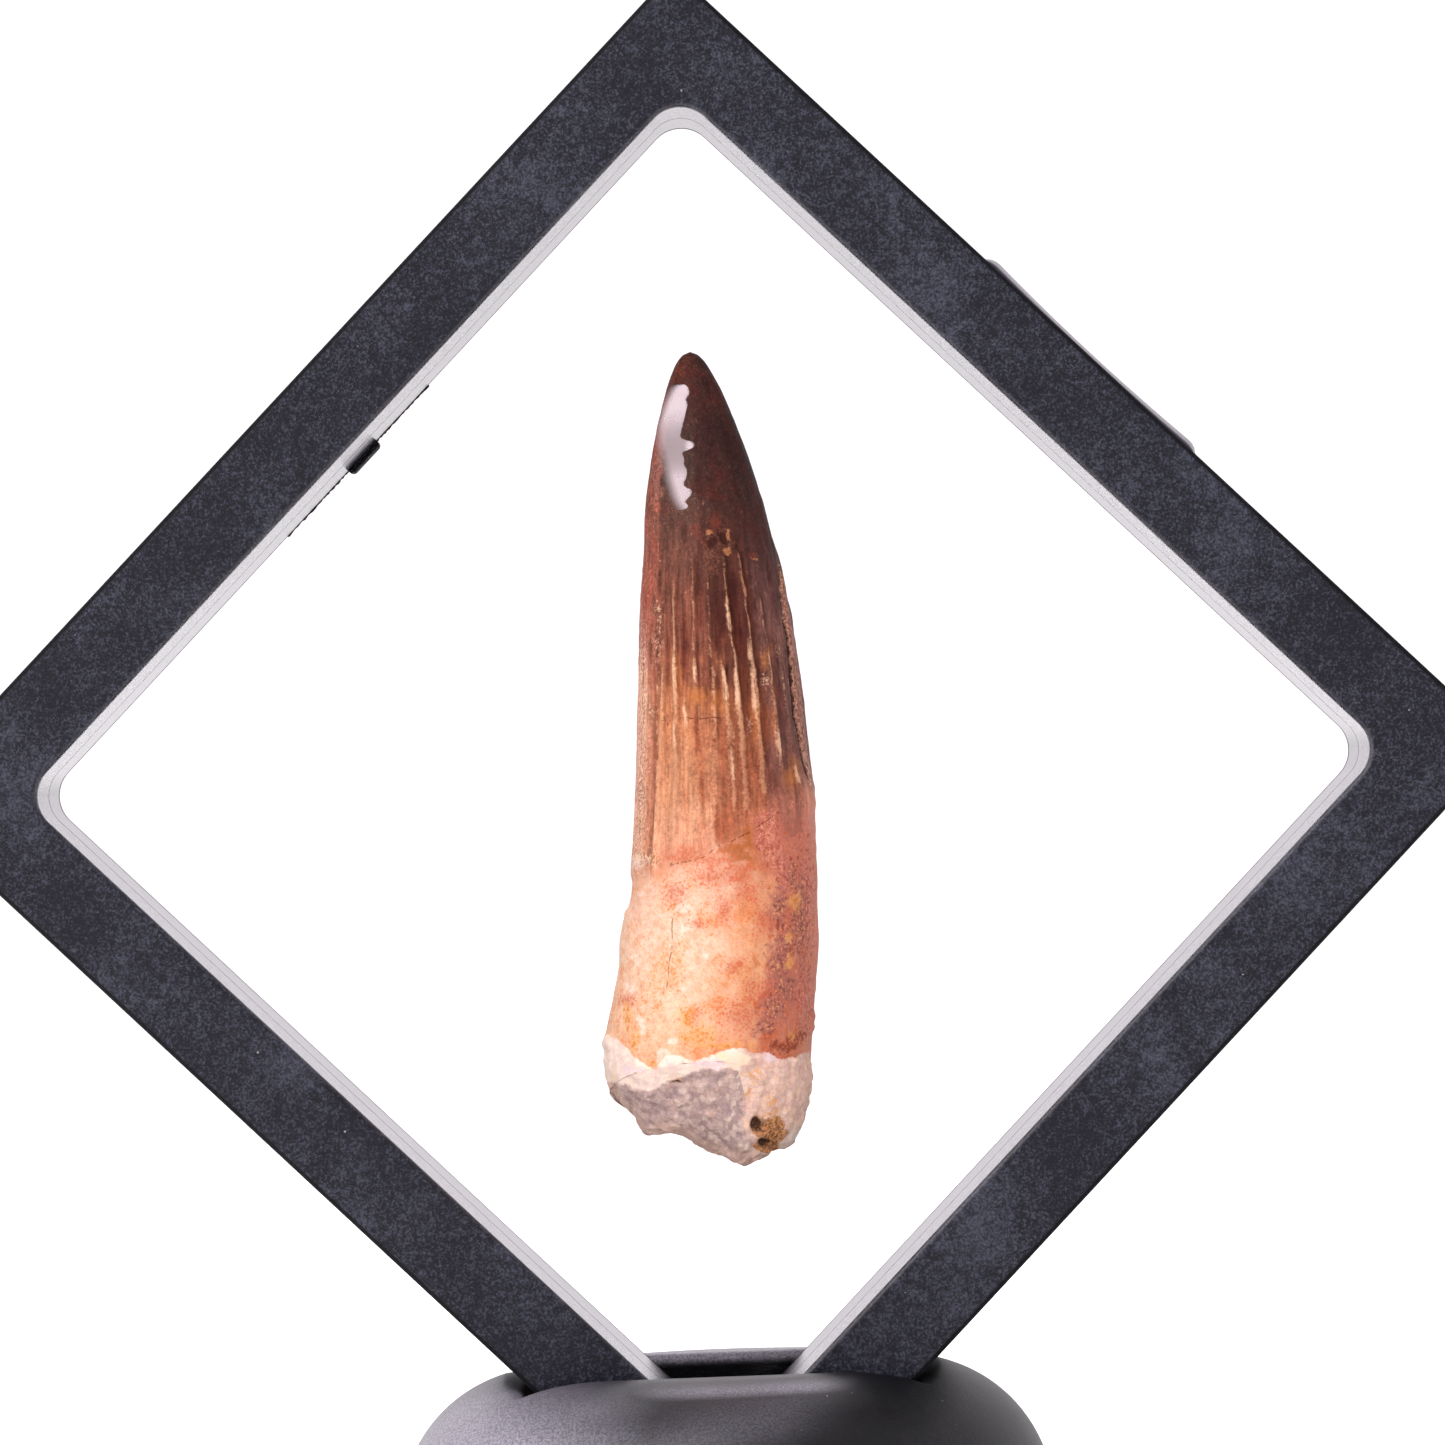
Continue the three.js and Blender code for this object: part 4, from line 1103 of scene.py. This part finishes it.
    # the left edge: pale granules, and a dark strip beside them
    low = fossil.rise(level + (mottle - 0.5) * 6, -8, -5) * fossil.rise(level + (mottle - 0.5) * 8, 14, 9)
    strip = fossil.rise(abs(across + 0.81 + (mottle - 0.5) * 0.3), 0.09, 0.03) * low
    crown = fossil.tinted(strip * 0.8, crown, (0.68, 0.50, 0.44))
    granules = fossil.rise(across * -1 + (mottle - 0.5) * 0.5, 0.86, 0.94) * low
    crown = over(crown, granules * cells * 0.6, (246, 208, 186), share)
    crown = fossil.tinted(granules * (1 - cells) * 0.6, crown, (0.80, 0.62, 0.56))
    upper = fossil.rise(level + (mottle - 0.5) * 8, 9, 13) * fossil.rise(level + (mottle - 0.5) * 8, 25, 20)
    upper = upper * fossil.rise(across * -1 + (mottle - 0.5) * 0.6, 0.70, 0.84)
    crown = fossil.tinted(upper * fossil.rise(mottle, 0.50, 0.56) * 0.7, crown, (0.74, 0.50, 0.50))
    crown = over(crown, upper * fossil.rise(dots, 0.58, 0.68) * 0.6, (222, 170, 150), share)
    outside = fossil.rise(beyond + (mottle - 0.5) * 0.06, 0.0, 0.03)
    outside = outside * fossil.rise(level, -4, 0) * fossil.rise(level, 17, 15)
    beside = fossil.mix(fossil.rise(dots, 0.42, 0.60), tone(130, 76, 64, share), tone(206, 146, 126, share))
    crown = fossil.mix(outside * 0.8, crown, beside)
    crevice = field("groove")
    crevice = crevice + ((chip - 0.5) * 1.4 + (mottle - 0.5) * 2.6) * fossil.rise(crevice, 0.02, 0.2)
    crown = fossil.mix(fossil.rise(crevice, 0.05, 0.30) * cells * 0.8, crown, tone(208, 156, 128, share))
    # painted shade: the deep of the groove is painted dark
    crown = over(crown, fossil.rise(crevice, 0.38, 0.70) * 0.95, (46, 24, 22), share)

    # root: three strips of colour with soft orange and cream mottling; the right strip is darker, partly the root's own
    # colour and partly painted shade
    root = fossil.ramp(level + drift * 0.4, -23, -5, tones(rootTones, share))
    inMiddle = fossil.rise(across + (blotch - 0.5) * 1.4 + (mottle - 0.5) * 0.8, -0.40, 0.42)
    root = fossil.mix(inMiddle, root, fossil.ramp(level + drift * 0.4, -23, -5, tones(rootMiddle, share)))
    atRight = fossil.rise(across + (blotch - 0.5) * 0.7 + (strand - 0.5) * 0.5, 0.38, 0.60)
    root = fossil.mix(atRight, root, fossil.ramp(level, -23, -5, tones(rootRight, rightShare)))
    root = fossil.tinted(fossil.rise(blotch, 0.48, 0.60) * 0.6, root, (1.0, 0.93, 0.80))
    root = fossil.tinted(fossil.rise(mottle, 0.50, 0.60) * 0.7, root, (1.06, 1.12, 1.14))
    root = fossil.tinted(fossil.rise(mottle, 0.49, 0.39) * 0.8, root, (0.93, 0.76, 0.66))
    root = fossil.tinted(fossil.rise(dots, 0.53, 0.63) * 0.6, root, (0.90, 0.68, 0.56))
    fine = fossil.rise(chip + (blotch - 0.5) * 0.5, 0.54, 0.63)
    root = fossil.tinted(fine * 0.9, root, (0.91, 0.57, 0.36))
    root = fossil.tinted(fossil.rise(chip, 0.45, 0.38) * 0.6, root, (1.03, 1.12, 1.20))
    root = fossil.tinted(fossil.rise(dots, 0.46, 0.38) * 0.5, root, (1.04, 1.10, 1.14))
    root = fossil.tinted(fossil.rise(strand, 0.5, 0.7) * 0.4, root, (1.03, 1.07, 1.10))
    farRight = fossil.rise(across, 0.82, 0.95)
    root = fossil.tinted(farRight * 0.8, root, (1.25, 1.62, 1.75))
    crown = fossil.tinted(farRight * fossil.rise(level, 3, -3) * 0.8, crown, (1.3, 1.6, 1.7))
    edge = fossil.rise(level + (mottle - 0.5) * 2.4 + (blotch - 0.5) * 2.4, -7.4, -5.2)
    skin = fossil.mix(edge, root, crown)

    # stains: a patch fades out through the noise given as grit
    def patch(name, grit, wild, low, high):
        return fossil.rise(field(name) + (grit - 0.5) * wild, low, high) * fossil.rise(field(name), 0.03, 0.3)

    def stain(below, name, colour, strength, grit=dots, wild=3.0, low=0.3, high=0.9, part=share):
        return fossil.mix(patch(name, grit, wild, low, high) * strength, below, tone(*colour, part))

    skin = stain(skin, "amber", (178, 98, 52), 0.9, mottle)
    skin = stain(skin, "pink", (206, 122, 104), 0.65, mottle)
    skin = stain(skin, "pink", (170, 72, 62), 0.7, dots, 5.0, 0.65, 1.25)
    skin = stain(skin, "pink", (236, 160, 136), 0.5, chip, 5.0, 0.9, 1.4)
    skin = stain(skin, "wedge", (106, 64, 58), 0.45, mottle, 4.0, part=rightShare)
    skin = stain(skin, "blush", (230, 140, 106), 0.45, mottle)
    skin = stain(skin, "blush", (196, 88, 60), 0.65, chip, 5.0, 0.45, 1.15)
    skin = stain(skin, "plum", (156, 94, 84), 0.75, mottle, part=rightShare)
    skin = stain(skin, "plum", (120, 62, 56), 0.8, dots, 5.0, 0.7, 1.3, rightShare)
    skin = stain(skin, "plum", (222, 156, 96), 0.6, chip, 5.0, 1.1, 1.6, rightShare)
    skin = stain(skin, "rust", (242, 170, 104), 0.6, mottle)
    skin = stain(skin, "rust", (224, 134, 44), 0.85, dots, 5.0, 0.8, 1.3)
    skin = stain(skin, "rust", (150, 84, 40), 0.7, chip, 5.0, 1.2, 1.7)
    skin = stain(skin, "umber", (140, 62, 42), 0.85, dots, 4.0, 0.5, 1.1)
    skin = stain(skin, "chalk", (255, 240, 230), 0.5, mottle, 2.5, 0.3, 1.1)
    granule = fossil.mix(cells, tone(140, 80, 60, share), tone(232, 190, 162, share))
    skin = fossil.mix(patch("granular", dots, 4.0, 0.55, 1.2) * 0.75, skin, granule)
    rubble = fossil.mix(cells, tone(78, 42, 34, share), tone(126, 78, 58, share))
    skin = fossil.mix(patch("chipped", mottle, 2.0, 0.3, 0.8) * 0.6, skin, rubble)
    skin = stain(skin, "scorch", (124, 56, 42), 0.6, mottle, 3.5)
    skin = stain(skin, "tan", (180, 116, 76), 0.75, chip, 2.6, 0.3, 0.9)
    # painted shade: the holes in the chipped patch are painted dark
    skin = stain(skin, "hole", (66, 30, 24), 0.9, chip, 1.2, 0.4, 0.7)
    skin = fossil.times(skin, 1 + (chip - 0.5) * 0.9)
    skin = fossil.tinted(fossil.rise(speck, 0.70, 0.80) * 0.4, skin, (1.5, 1.5, 1.5))
    skin = fossil.tinted(fossil.rise(speck, 0.32, 0.22) * 0.5, skin, (0.55, 0.5, 0.5))
    crackGap = abs(field("crackGap") + (mottle - 0.5) * 0.35)
    crack = (1 - fossil.rise(crackGap, 0.01, 0.07)) * field("crackHere") * fossil.rise(mottle, 0.47, 0.54)
    skin = over(skin, crack * 0.85, (92, 42, 28), share)

    # broken end
    # painted shade: darker between the grains of the broken end
    grainGapShade = fossil.rise(fossil.cells(0.5, feature="DISTANCE_TO_EDGE"), 0.16, 0.0)
    tint = fossil.node("SeparateColor", None, {"Color": fossil.cells(0.5, out="Color")}, out="Red")
    grain = field("grain") * 0.5 + tint * 0.5
    grey = fossil.ramp(grain, 0, 1, [(0.15, tone(154, 126, 126, sandShare)), (0.5, tone(184, 154, 148, sandShare)),
                                     (0.85, tone(212, 184, 172, sandShare))])
    warm = fossil.rise(blotch + (dots - 0.5) * 0.5, 0.5, 0.7)
    grey = over(grey, warm * 0.55, (212, 172, 156), sandShare)
    grey = over(grey, grainGapShade * 0.3, (140, 112, 114), sandShare)
    grey = over(grey, fossil.rise(field("edgeGap") + (mottle - 0.5) * 2.2, 1.3, 0.3) * 0.75, (222, 180, 164), sandShare)
    pink = fossil.mix(grain, tone(206, 160, 150, sandShare), tone(236, 200, 184, sandShare))
    pink = over(pink, grainGapShade * 0.3, (176, 132, 124), sandShare)
    pink = over(pink, fossil.rise(mottle, 0.50, 0.64) * 0.5, (244, 196, 158), sandShare)
    rim = fossil.mix(fossil.rise(mottle, 0.40, 0.60), tone(246, 220, 204, 0.64), tone(232, 200, 190, 0.64))
    rim = over(rim, fossil.rise(blotch, 0.54, 0.66) * 0.7, (250, 206, 164), 0.66)
    onRim = fossil.rise(field("rimGap") + (mottle - 0.5) * 1.2, -0.12, 0.16)
    inside = fossil.mix(onRim, grey, rim)
    onRight = fossil.rise(field("rightSand") + (mottle - 0.5) * 1.5 + (blotch - 0.5) * 1.2, 0.25, 0.75)
    inside = fossil.mix(onRight, inside, pink)
    inside = stain(inside, "lilac", (226, 196, 202), 0.8, mottle, part=sandShare)
    inside = stain(inside, "bean", (250, 216, 190), 0.75, mottle, 2.0, part=0.62)
    inside = stain(inside, "rust", (216, 148, 84), 0.75, dots, 4.0, 0.5, 1.1, sandShare)
    pocket = fossil.mix(fossil.rise(chip, 0.36, 0.56), tone(122, 68, 40, sandShare), tone(212, 146, 96, sandShare))
    pocket = over(pocket, fossil.rise(dots, 0.52, 0.42) * 0.7, (82, 46, 32), sandShare)
    inside = fossil.mix(patch("pocket", dots, 2.0, 0.3, 0.7), inside, pocket)
    # painted shade: the pits in the broken end are painted dark
    inside = stain(inside, "pit", (52, 30, 26), 0.85, dots, 1.6, 0.4, 0.8, sandShare)
    inside = over(inside, fossil.rise(speck, 0.66, 0.76) * 0.4, (250, 236, 232), sandShare)
    inside = over(inside, fossil.rise(speck, 0.34, 0.26) * 0.3, (120, 84, 84), sandShare)
    onShell = fossil.rise(field("shellGap") + (mottle - 0.5) * 0.9, -0.12, 0.06)
    colour = fossil.mix(onShell, inside, skin)

    # where the film lies on the tooth it mirrors the softbox
    gloss = fossil.rise(field("gloss") + (speck - 0.5) * 0.08, 0.0, 0.08) * field("glossPower")
    colour = over(colour, gloss, look["gloss"], 1.0)
    fossil.put(colour=colour, roughness=0.62 + (mottle - 0.5) * 0.2 - gloss * 0.4, metal=gloss, shine=0.08)
    height = (streak - 0.5) * 0.5 * onShell + (mottle - 0.5) * 0.6 + (chip - 0.5) * 0.4 + (speck - 0.5) * 0.25
    # the film lies on the glossy patch and bridges its curve
    onFilm = fossil.rise(field("gloss"), 0.0, 0.3)
    bridged = fossil.node("Mix", {"data_type": "VECTOR"}, {
        0: onFilm * look["bridging"], 4: fossil.node("NewGeometry", out="Normal"), 5: look["filmFacing"]}, out=1)
    bridged = fossil.node("VectorMath", {"operation": "NORMALIZE"}, {0: bridged}, out="Vector")
    fossil.put(normal=fossil.bump(height * (1 - onFilm), 0.07, bridged))
    return fossil.material


# films

film = {
    "spokesPerSide": 48,
    "fanSpokes": 24,
    "contactRings": 6,
    "freeRings": 10,
    "thick": 0.07,
    "spacing": 0.06,
    "clearance": 0.42,
    "edge": 1.3,                            # how far it runs into the groove
}


def diamondPoint(spoke, half):
    # a point on the upright square, counted in spokes from its top corner
    perSide = film["spokesPerSide"]
    quarter, part = int(spoke // perSide) % 4, (spoke % perSide) / perSide
    reach = half * math.sqrt(2)
    corners = ((0, reach), (reach, 0), (0, -reach), (-reach, 0))
    start, end = corners[quarter], corners[(quarter + 1) % 4]
    return np.array([blend(start[0], end[0], part), blend(start[1], end[1], part)])


def roundCorner(flat, spoke):
    # the opening's corners are rounded, so the spokes near them are shorter
    toCorner = min(spoke % film["spokesPerSide"], -spoke % film["spokesPerSide"])
    bare = (ring["innerCorner"] * (math.sqrt(2) - 1) / (openingHalf * math.sqrt(2)))
    return flat * (1 - bare * math.exp(-(toCorner / 1.6) ** 2))


def makeFilm(name, node, side, finish):
    spokes = film["spokesPerSide"] * 4
    levels = film["spokesPerSide"] * 2 - film["fanSpokes"] * 2
    spineTop = openingHalf * math.sqrt(2) * (1 - film["fanSpokes"] / film["spokesPerSide"])
    spineZ = spineTop * (1 - 2 * np.arange(levels + 1) / levels)
    spine = np.stack([middleAt(spineZ), spineZ], -1)
    near = [(x, z, float(halfDepthAt(z)) + film["clearance"]) for x, z in spine]
    count = film["contactRings"] + film["freeRings"] + 1
    inner = list(near)

    def levelOf(spoke):
        down = min(spoke % spokes, spokes - spoke % spokes)
        return int(np.clip(down - film["fanSpokes"], 0, levels))

    for spoke in range(spokes):
        start = spine[levelOf(spoke)]
        wall = roundCorner(diamondPoint(spoke, openingHalf), spoke)
        grip = roundCorner(diamondPoint(spoke, openingHalf + film["edge"]), spoke)
        run = wall - start
        reach = float(np.hypot(*run))
        heading = run / reach
        width = float(halfWidthAt(start[1]))
        if abs(start[1]) >= spineTop - 1e-6:
            toEnd = tooth["tip"][0] - start[1] if start[1] > 0 else start[1] - float(bottomEdge(start[0]))
            width = 1 / math.hypot(heading[0] / width, heading[1] / toEnd)
        width += film["clearance"]
        depth = float(halfDepthAt(start[1])) + film["clearance"]
        touch = width * width / reach
        for step in range(1, film["contactRings"] + 1):
            away = touch * step / film["contactRings"]
            flat = start + heading * away
            inner.append((flat[0], flat[1], depth * math.sqrt(1 - (away / width) ** 2)))
        leaving = depth * math.sqrt(1 - (width / reach) ** 2)
        for step in range(1, film["freeRings"] + 1):
            share = step / film["freeRings"]
            flat = blend(start + heading * touch, wall, share)
            inner.append((flat[0], flat[1], leaving * (1 - share)))
        inner.append((grip[0], grip[1], 0.0))

    faces = []
    at = lambda spoke, step: len(spine) + (spoke % spokes) * count + step
    for spoke in range(spokes):
        here, there = levelOf(spoke), levelOf(spoke + 1)
        faces.append([here, at(spoke, 0), at(spoke + 1, 0)] + ([there] if here != there else []))
        for step in range(count - 1):
            faces.append([at(spoke, step), at(spoke, step + 1), at(spoke + 1, step + 1), at(spoke + 1, step)])
    total = len(inner)
    faces += [[corner + total for corner in reversed(face)] for face in faces]
    for spoke in range(spokes):
        a, b = at(spoke, count - 1), at(spoke + 1, count - 1)
        faces.append([b, a, a + total, b + total])
    flat = np.array(inner)
    layers = []
    for offset in (0.0, film["thick"]):
        y = side * (film["spacing"] / 2 + flat[:, 2] + offset)
        layers.append(np.stack([flat[:, 0], y, flat[:, 1] + frameCentre], -1))
    piece = addPiece(name, np.concatenate(layers), faces, finish, node)
    tidyMesh(piece)
    return piece


def makeClear():
    clear = Finish("clear_film")
    sheen = clear.node("Fresnel", None, {"IOR": 1.13})
    haze = clear.noise(3.0, detail=4)
    clear.put(colour=(1, 1, 1, 1), metal=1.0, roughness=clear.rise(haze, 0.2, 0.9) * 0.05 + 0.03)
    clear.put(alpha=sheen * 0.25, normal=clear.bump(haze, 0.01))
    return clear.material


# stand: turned dome on a flat foot, with the trench that the frame's lower corner stands in

stand = {
    "shiftX": -0.3,                         # it sits a little off the frame's middle
    "radius": 26.3,
    "plateau": 15.0,
    "widestHeight": 6.5,
    "footRadius": 22.5,
    "slotHalf": 11.5,
    "slotFootHalf": 10.4,
    "slotFloor": 2.65,
    "sideGap": 0.3,
    "rimFlare": 0.7,
    "rimDrop": 1.4,
    "rimRound": 0.75,
    "cornerSteps": 5,
    "sideSteps": 30,
}


def domeHeight(radius):
    share = np.clip((radius - stand["plateau"]) / (stand["radius"] - stand["plateau"]), 0, 1)
    return stand["widestHeight"] + (standHeight - stand["widestHeight"]) * np.sqrt(1 - share ** 2)


def makeStand(finish):
    reach = halfSide * math.sqrt(2)
    apex = frameCentre - reach - stand["sideGap"] * math.sqrt(2)
    cornerRadius = ring["outerCorner"] + stand["sideGap"]
    flareStart = standHeight - stand["rimDrop"]

    def trench(z):
        # half length of the trench at a height, round at its bottom and flared at its rim
        straight = z - apex
        centre = apex + cornerRadius * math.sqrt(2)
        drop = np.clip((centre - z) / cornerRadius, -1, 1)
        curved = cornerRadius * np.sqrt(1 - drop ** 2)
        turnAt = centre - cornerRadius * math.sqrt(0.5)
        flared = stand["rimFlare"] * smoothStep(z, flareStart - 0.8, standHeight)
        return np.where(z < turnAt, curved, straight + flared)

    def halfWidth(z):
        return blend(stand["slotFootHalf"], stand["slotHalf"], smoothStep(z, stand["slotFloor"], flareStart))

    def outline(halfX, halfY):
        radius = min(0.5, halfX)
        return roundedPath(halfX, halfY, radius, stand["cornerSteps"], stand["sideSteps"])

    bottom = apex + cornerRadius * (math.sqrt(2) - 1)
    lowest = bottom + (1 - np.cos(np.linspace(0, 1, 8) * math.pi / 4)) * cornerRadius
    risen = np.linspace(lowest[-1], standHeight - 2.6, 10)[1:]
    rings = []
    for z in np.concatenate([lowest, risen]):
        path = outline(float(trench(z)) if z > bottom else 0.0, float(halfWidth(z)))
        rings.append(np.column_stack([path, np.full(len(path), z)]))
    # the rim: where each upright line of the trench's wall meets the dome
    count = len(rings[-1])
    heights = np.linspace(standHeight - 2.6, standHeight, 27)
    walls = np.array([np.column_stack([outline(float(trench(z)), float(halfWidth(z))), np.full(count, z)])
                      for z in heights])
    over = walls[..., 2] - domeHeight(np.hypot(walls[..., 0], walls[..., 1]))
    meet = np.array([np.interp(0, over[:, i], heights) for i in range(count)])

    def wallAt(z):
        return np.array([[np.interp(z[i], heights, walls[:, i, axis]) for axis in range(3)] for i in range(count)])

    sharp = wallAt(meet)
    below = wallAt(meet - stand["rimRound"])
    outward = outline(30.5, 25.0) - outline(30.0, 24.5)
    outward /= np.linalg.norm(outward, axis=1)[:, None]
    beyond = sharp[:, :2] + outward * stand["rimRound"]
    beyond = np.column_stack([beyond, domeHeight(np.hypot(*beyond.T))])
    for share in np.linspace(0, 1, 8):
        rings.append(below * (1 - share) ** 2 + sharp * 2 * share * (1 - share) + beyond * share ** 2)
    turn = np.arctan2(beyond[:, 1], beyond[:, 0])
    circle = np.column_stack([np.cos(turn), np.sin(turn)])
    shoulder = 22.6
    for share in np.linspace(0, 1, 12)[1:]:
        flat = blend(beyond[:, :2], circle * shoulder, share)
        rings.append(np.column_stack([flat, domeHeight(np.hypot(*flat.T))]))
    start = math.acos((shoulder - stand["plateau"]) / (stand["radius"] - stand["plateau"]))
    for angle in np.linspace(start, 0, 14)[1:]:
        radius = stand["plateau"] + (stand["radius"] - stand["plateau"]) * math.cos(angle)
        z = stand["widestHeight"] + (standHeight - stand["widestHeight"]) * math.sin(angle)
        rings.append(np.column_stack([circle * radius, np.full(count, z)]))
    for angle in np.linspace(0, math.pi / 2, 10)[1:]:
        radius = stand["footRadius"] + (stand["radius"] - stand["footRadius"]) * math.cos(angle)
        rings.append(np.column_stack([circle * radius, np.full(count, stand["widestHeight"] * (1 - math.sin(angle)))]))
    rings.append(np.column_stack([circle * stand["footRadius"] * 0.5, np.zeros(count)]))
    points = np.concatenate(rings + [np.zeros((1, 3))]) + [stand["shiftX"], 0, 0]
    faces = skinFaces([count] * len(rings) + [1])
    piece = addPiece("stand", points, faces, finish, "display_stand")
    tidyMesh(piece, weld=0.004)
    piece.data.set_sharp_from_angle(angle=math.radians(50))
    return piece


makeCamera()
makeFloor()
makeLight()
print("camera, floor and light ready")
framePlastic = makePlastic("frame_black")
standPlastic = makePlastic("stand_black")
makeFrameHalf("front_half", "front_frame_half", -1, framePlastic)
makeFrameHalf("rear_half", "rear_frame_half", 1, framePlastic, (makeLatch(), makeTab(), makeFlash()))
print("frame ready")
makeStand(standPlastic)
print("stand ready")
clearFilm = makeClear()
makeFilm("front_clear_film", "front_film", -1, clearFilm)
makeFilm("rear_clear_film", "rear_film", 1, clearFilm)
print("films ready")
makeTooth(makeFossil())
print("tooth ready")
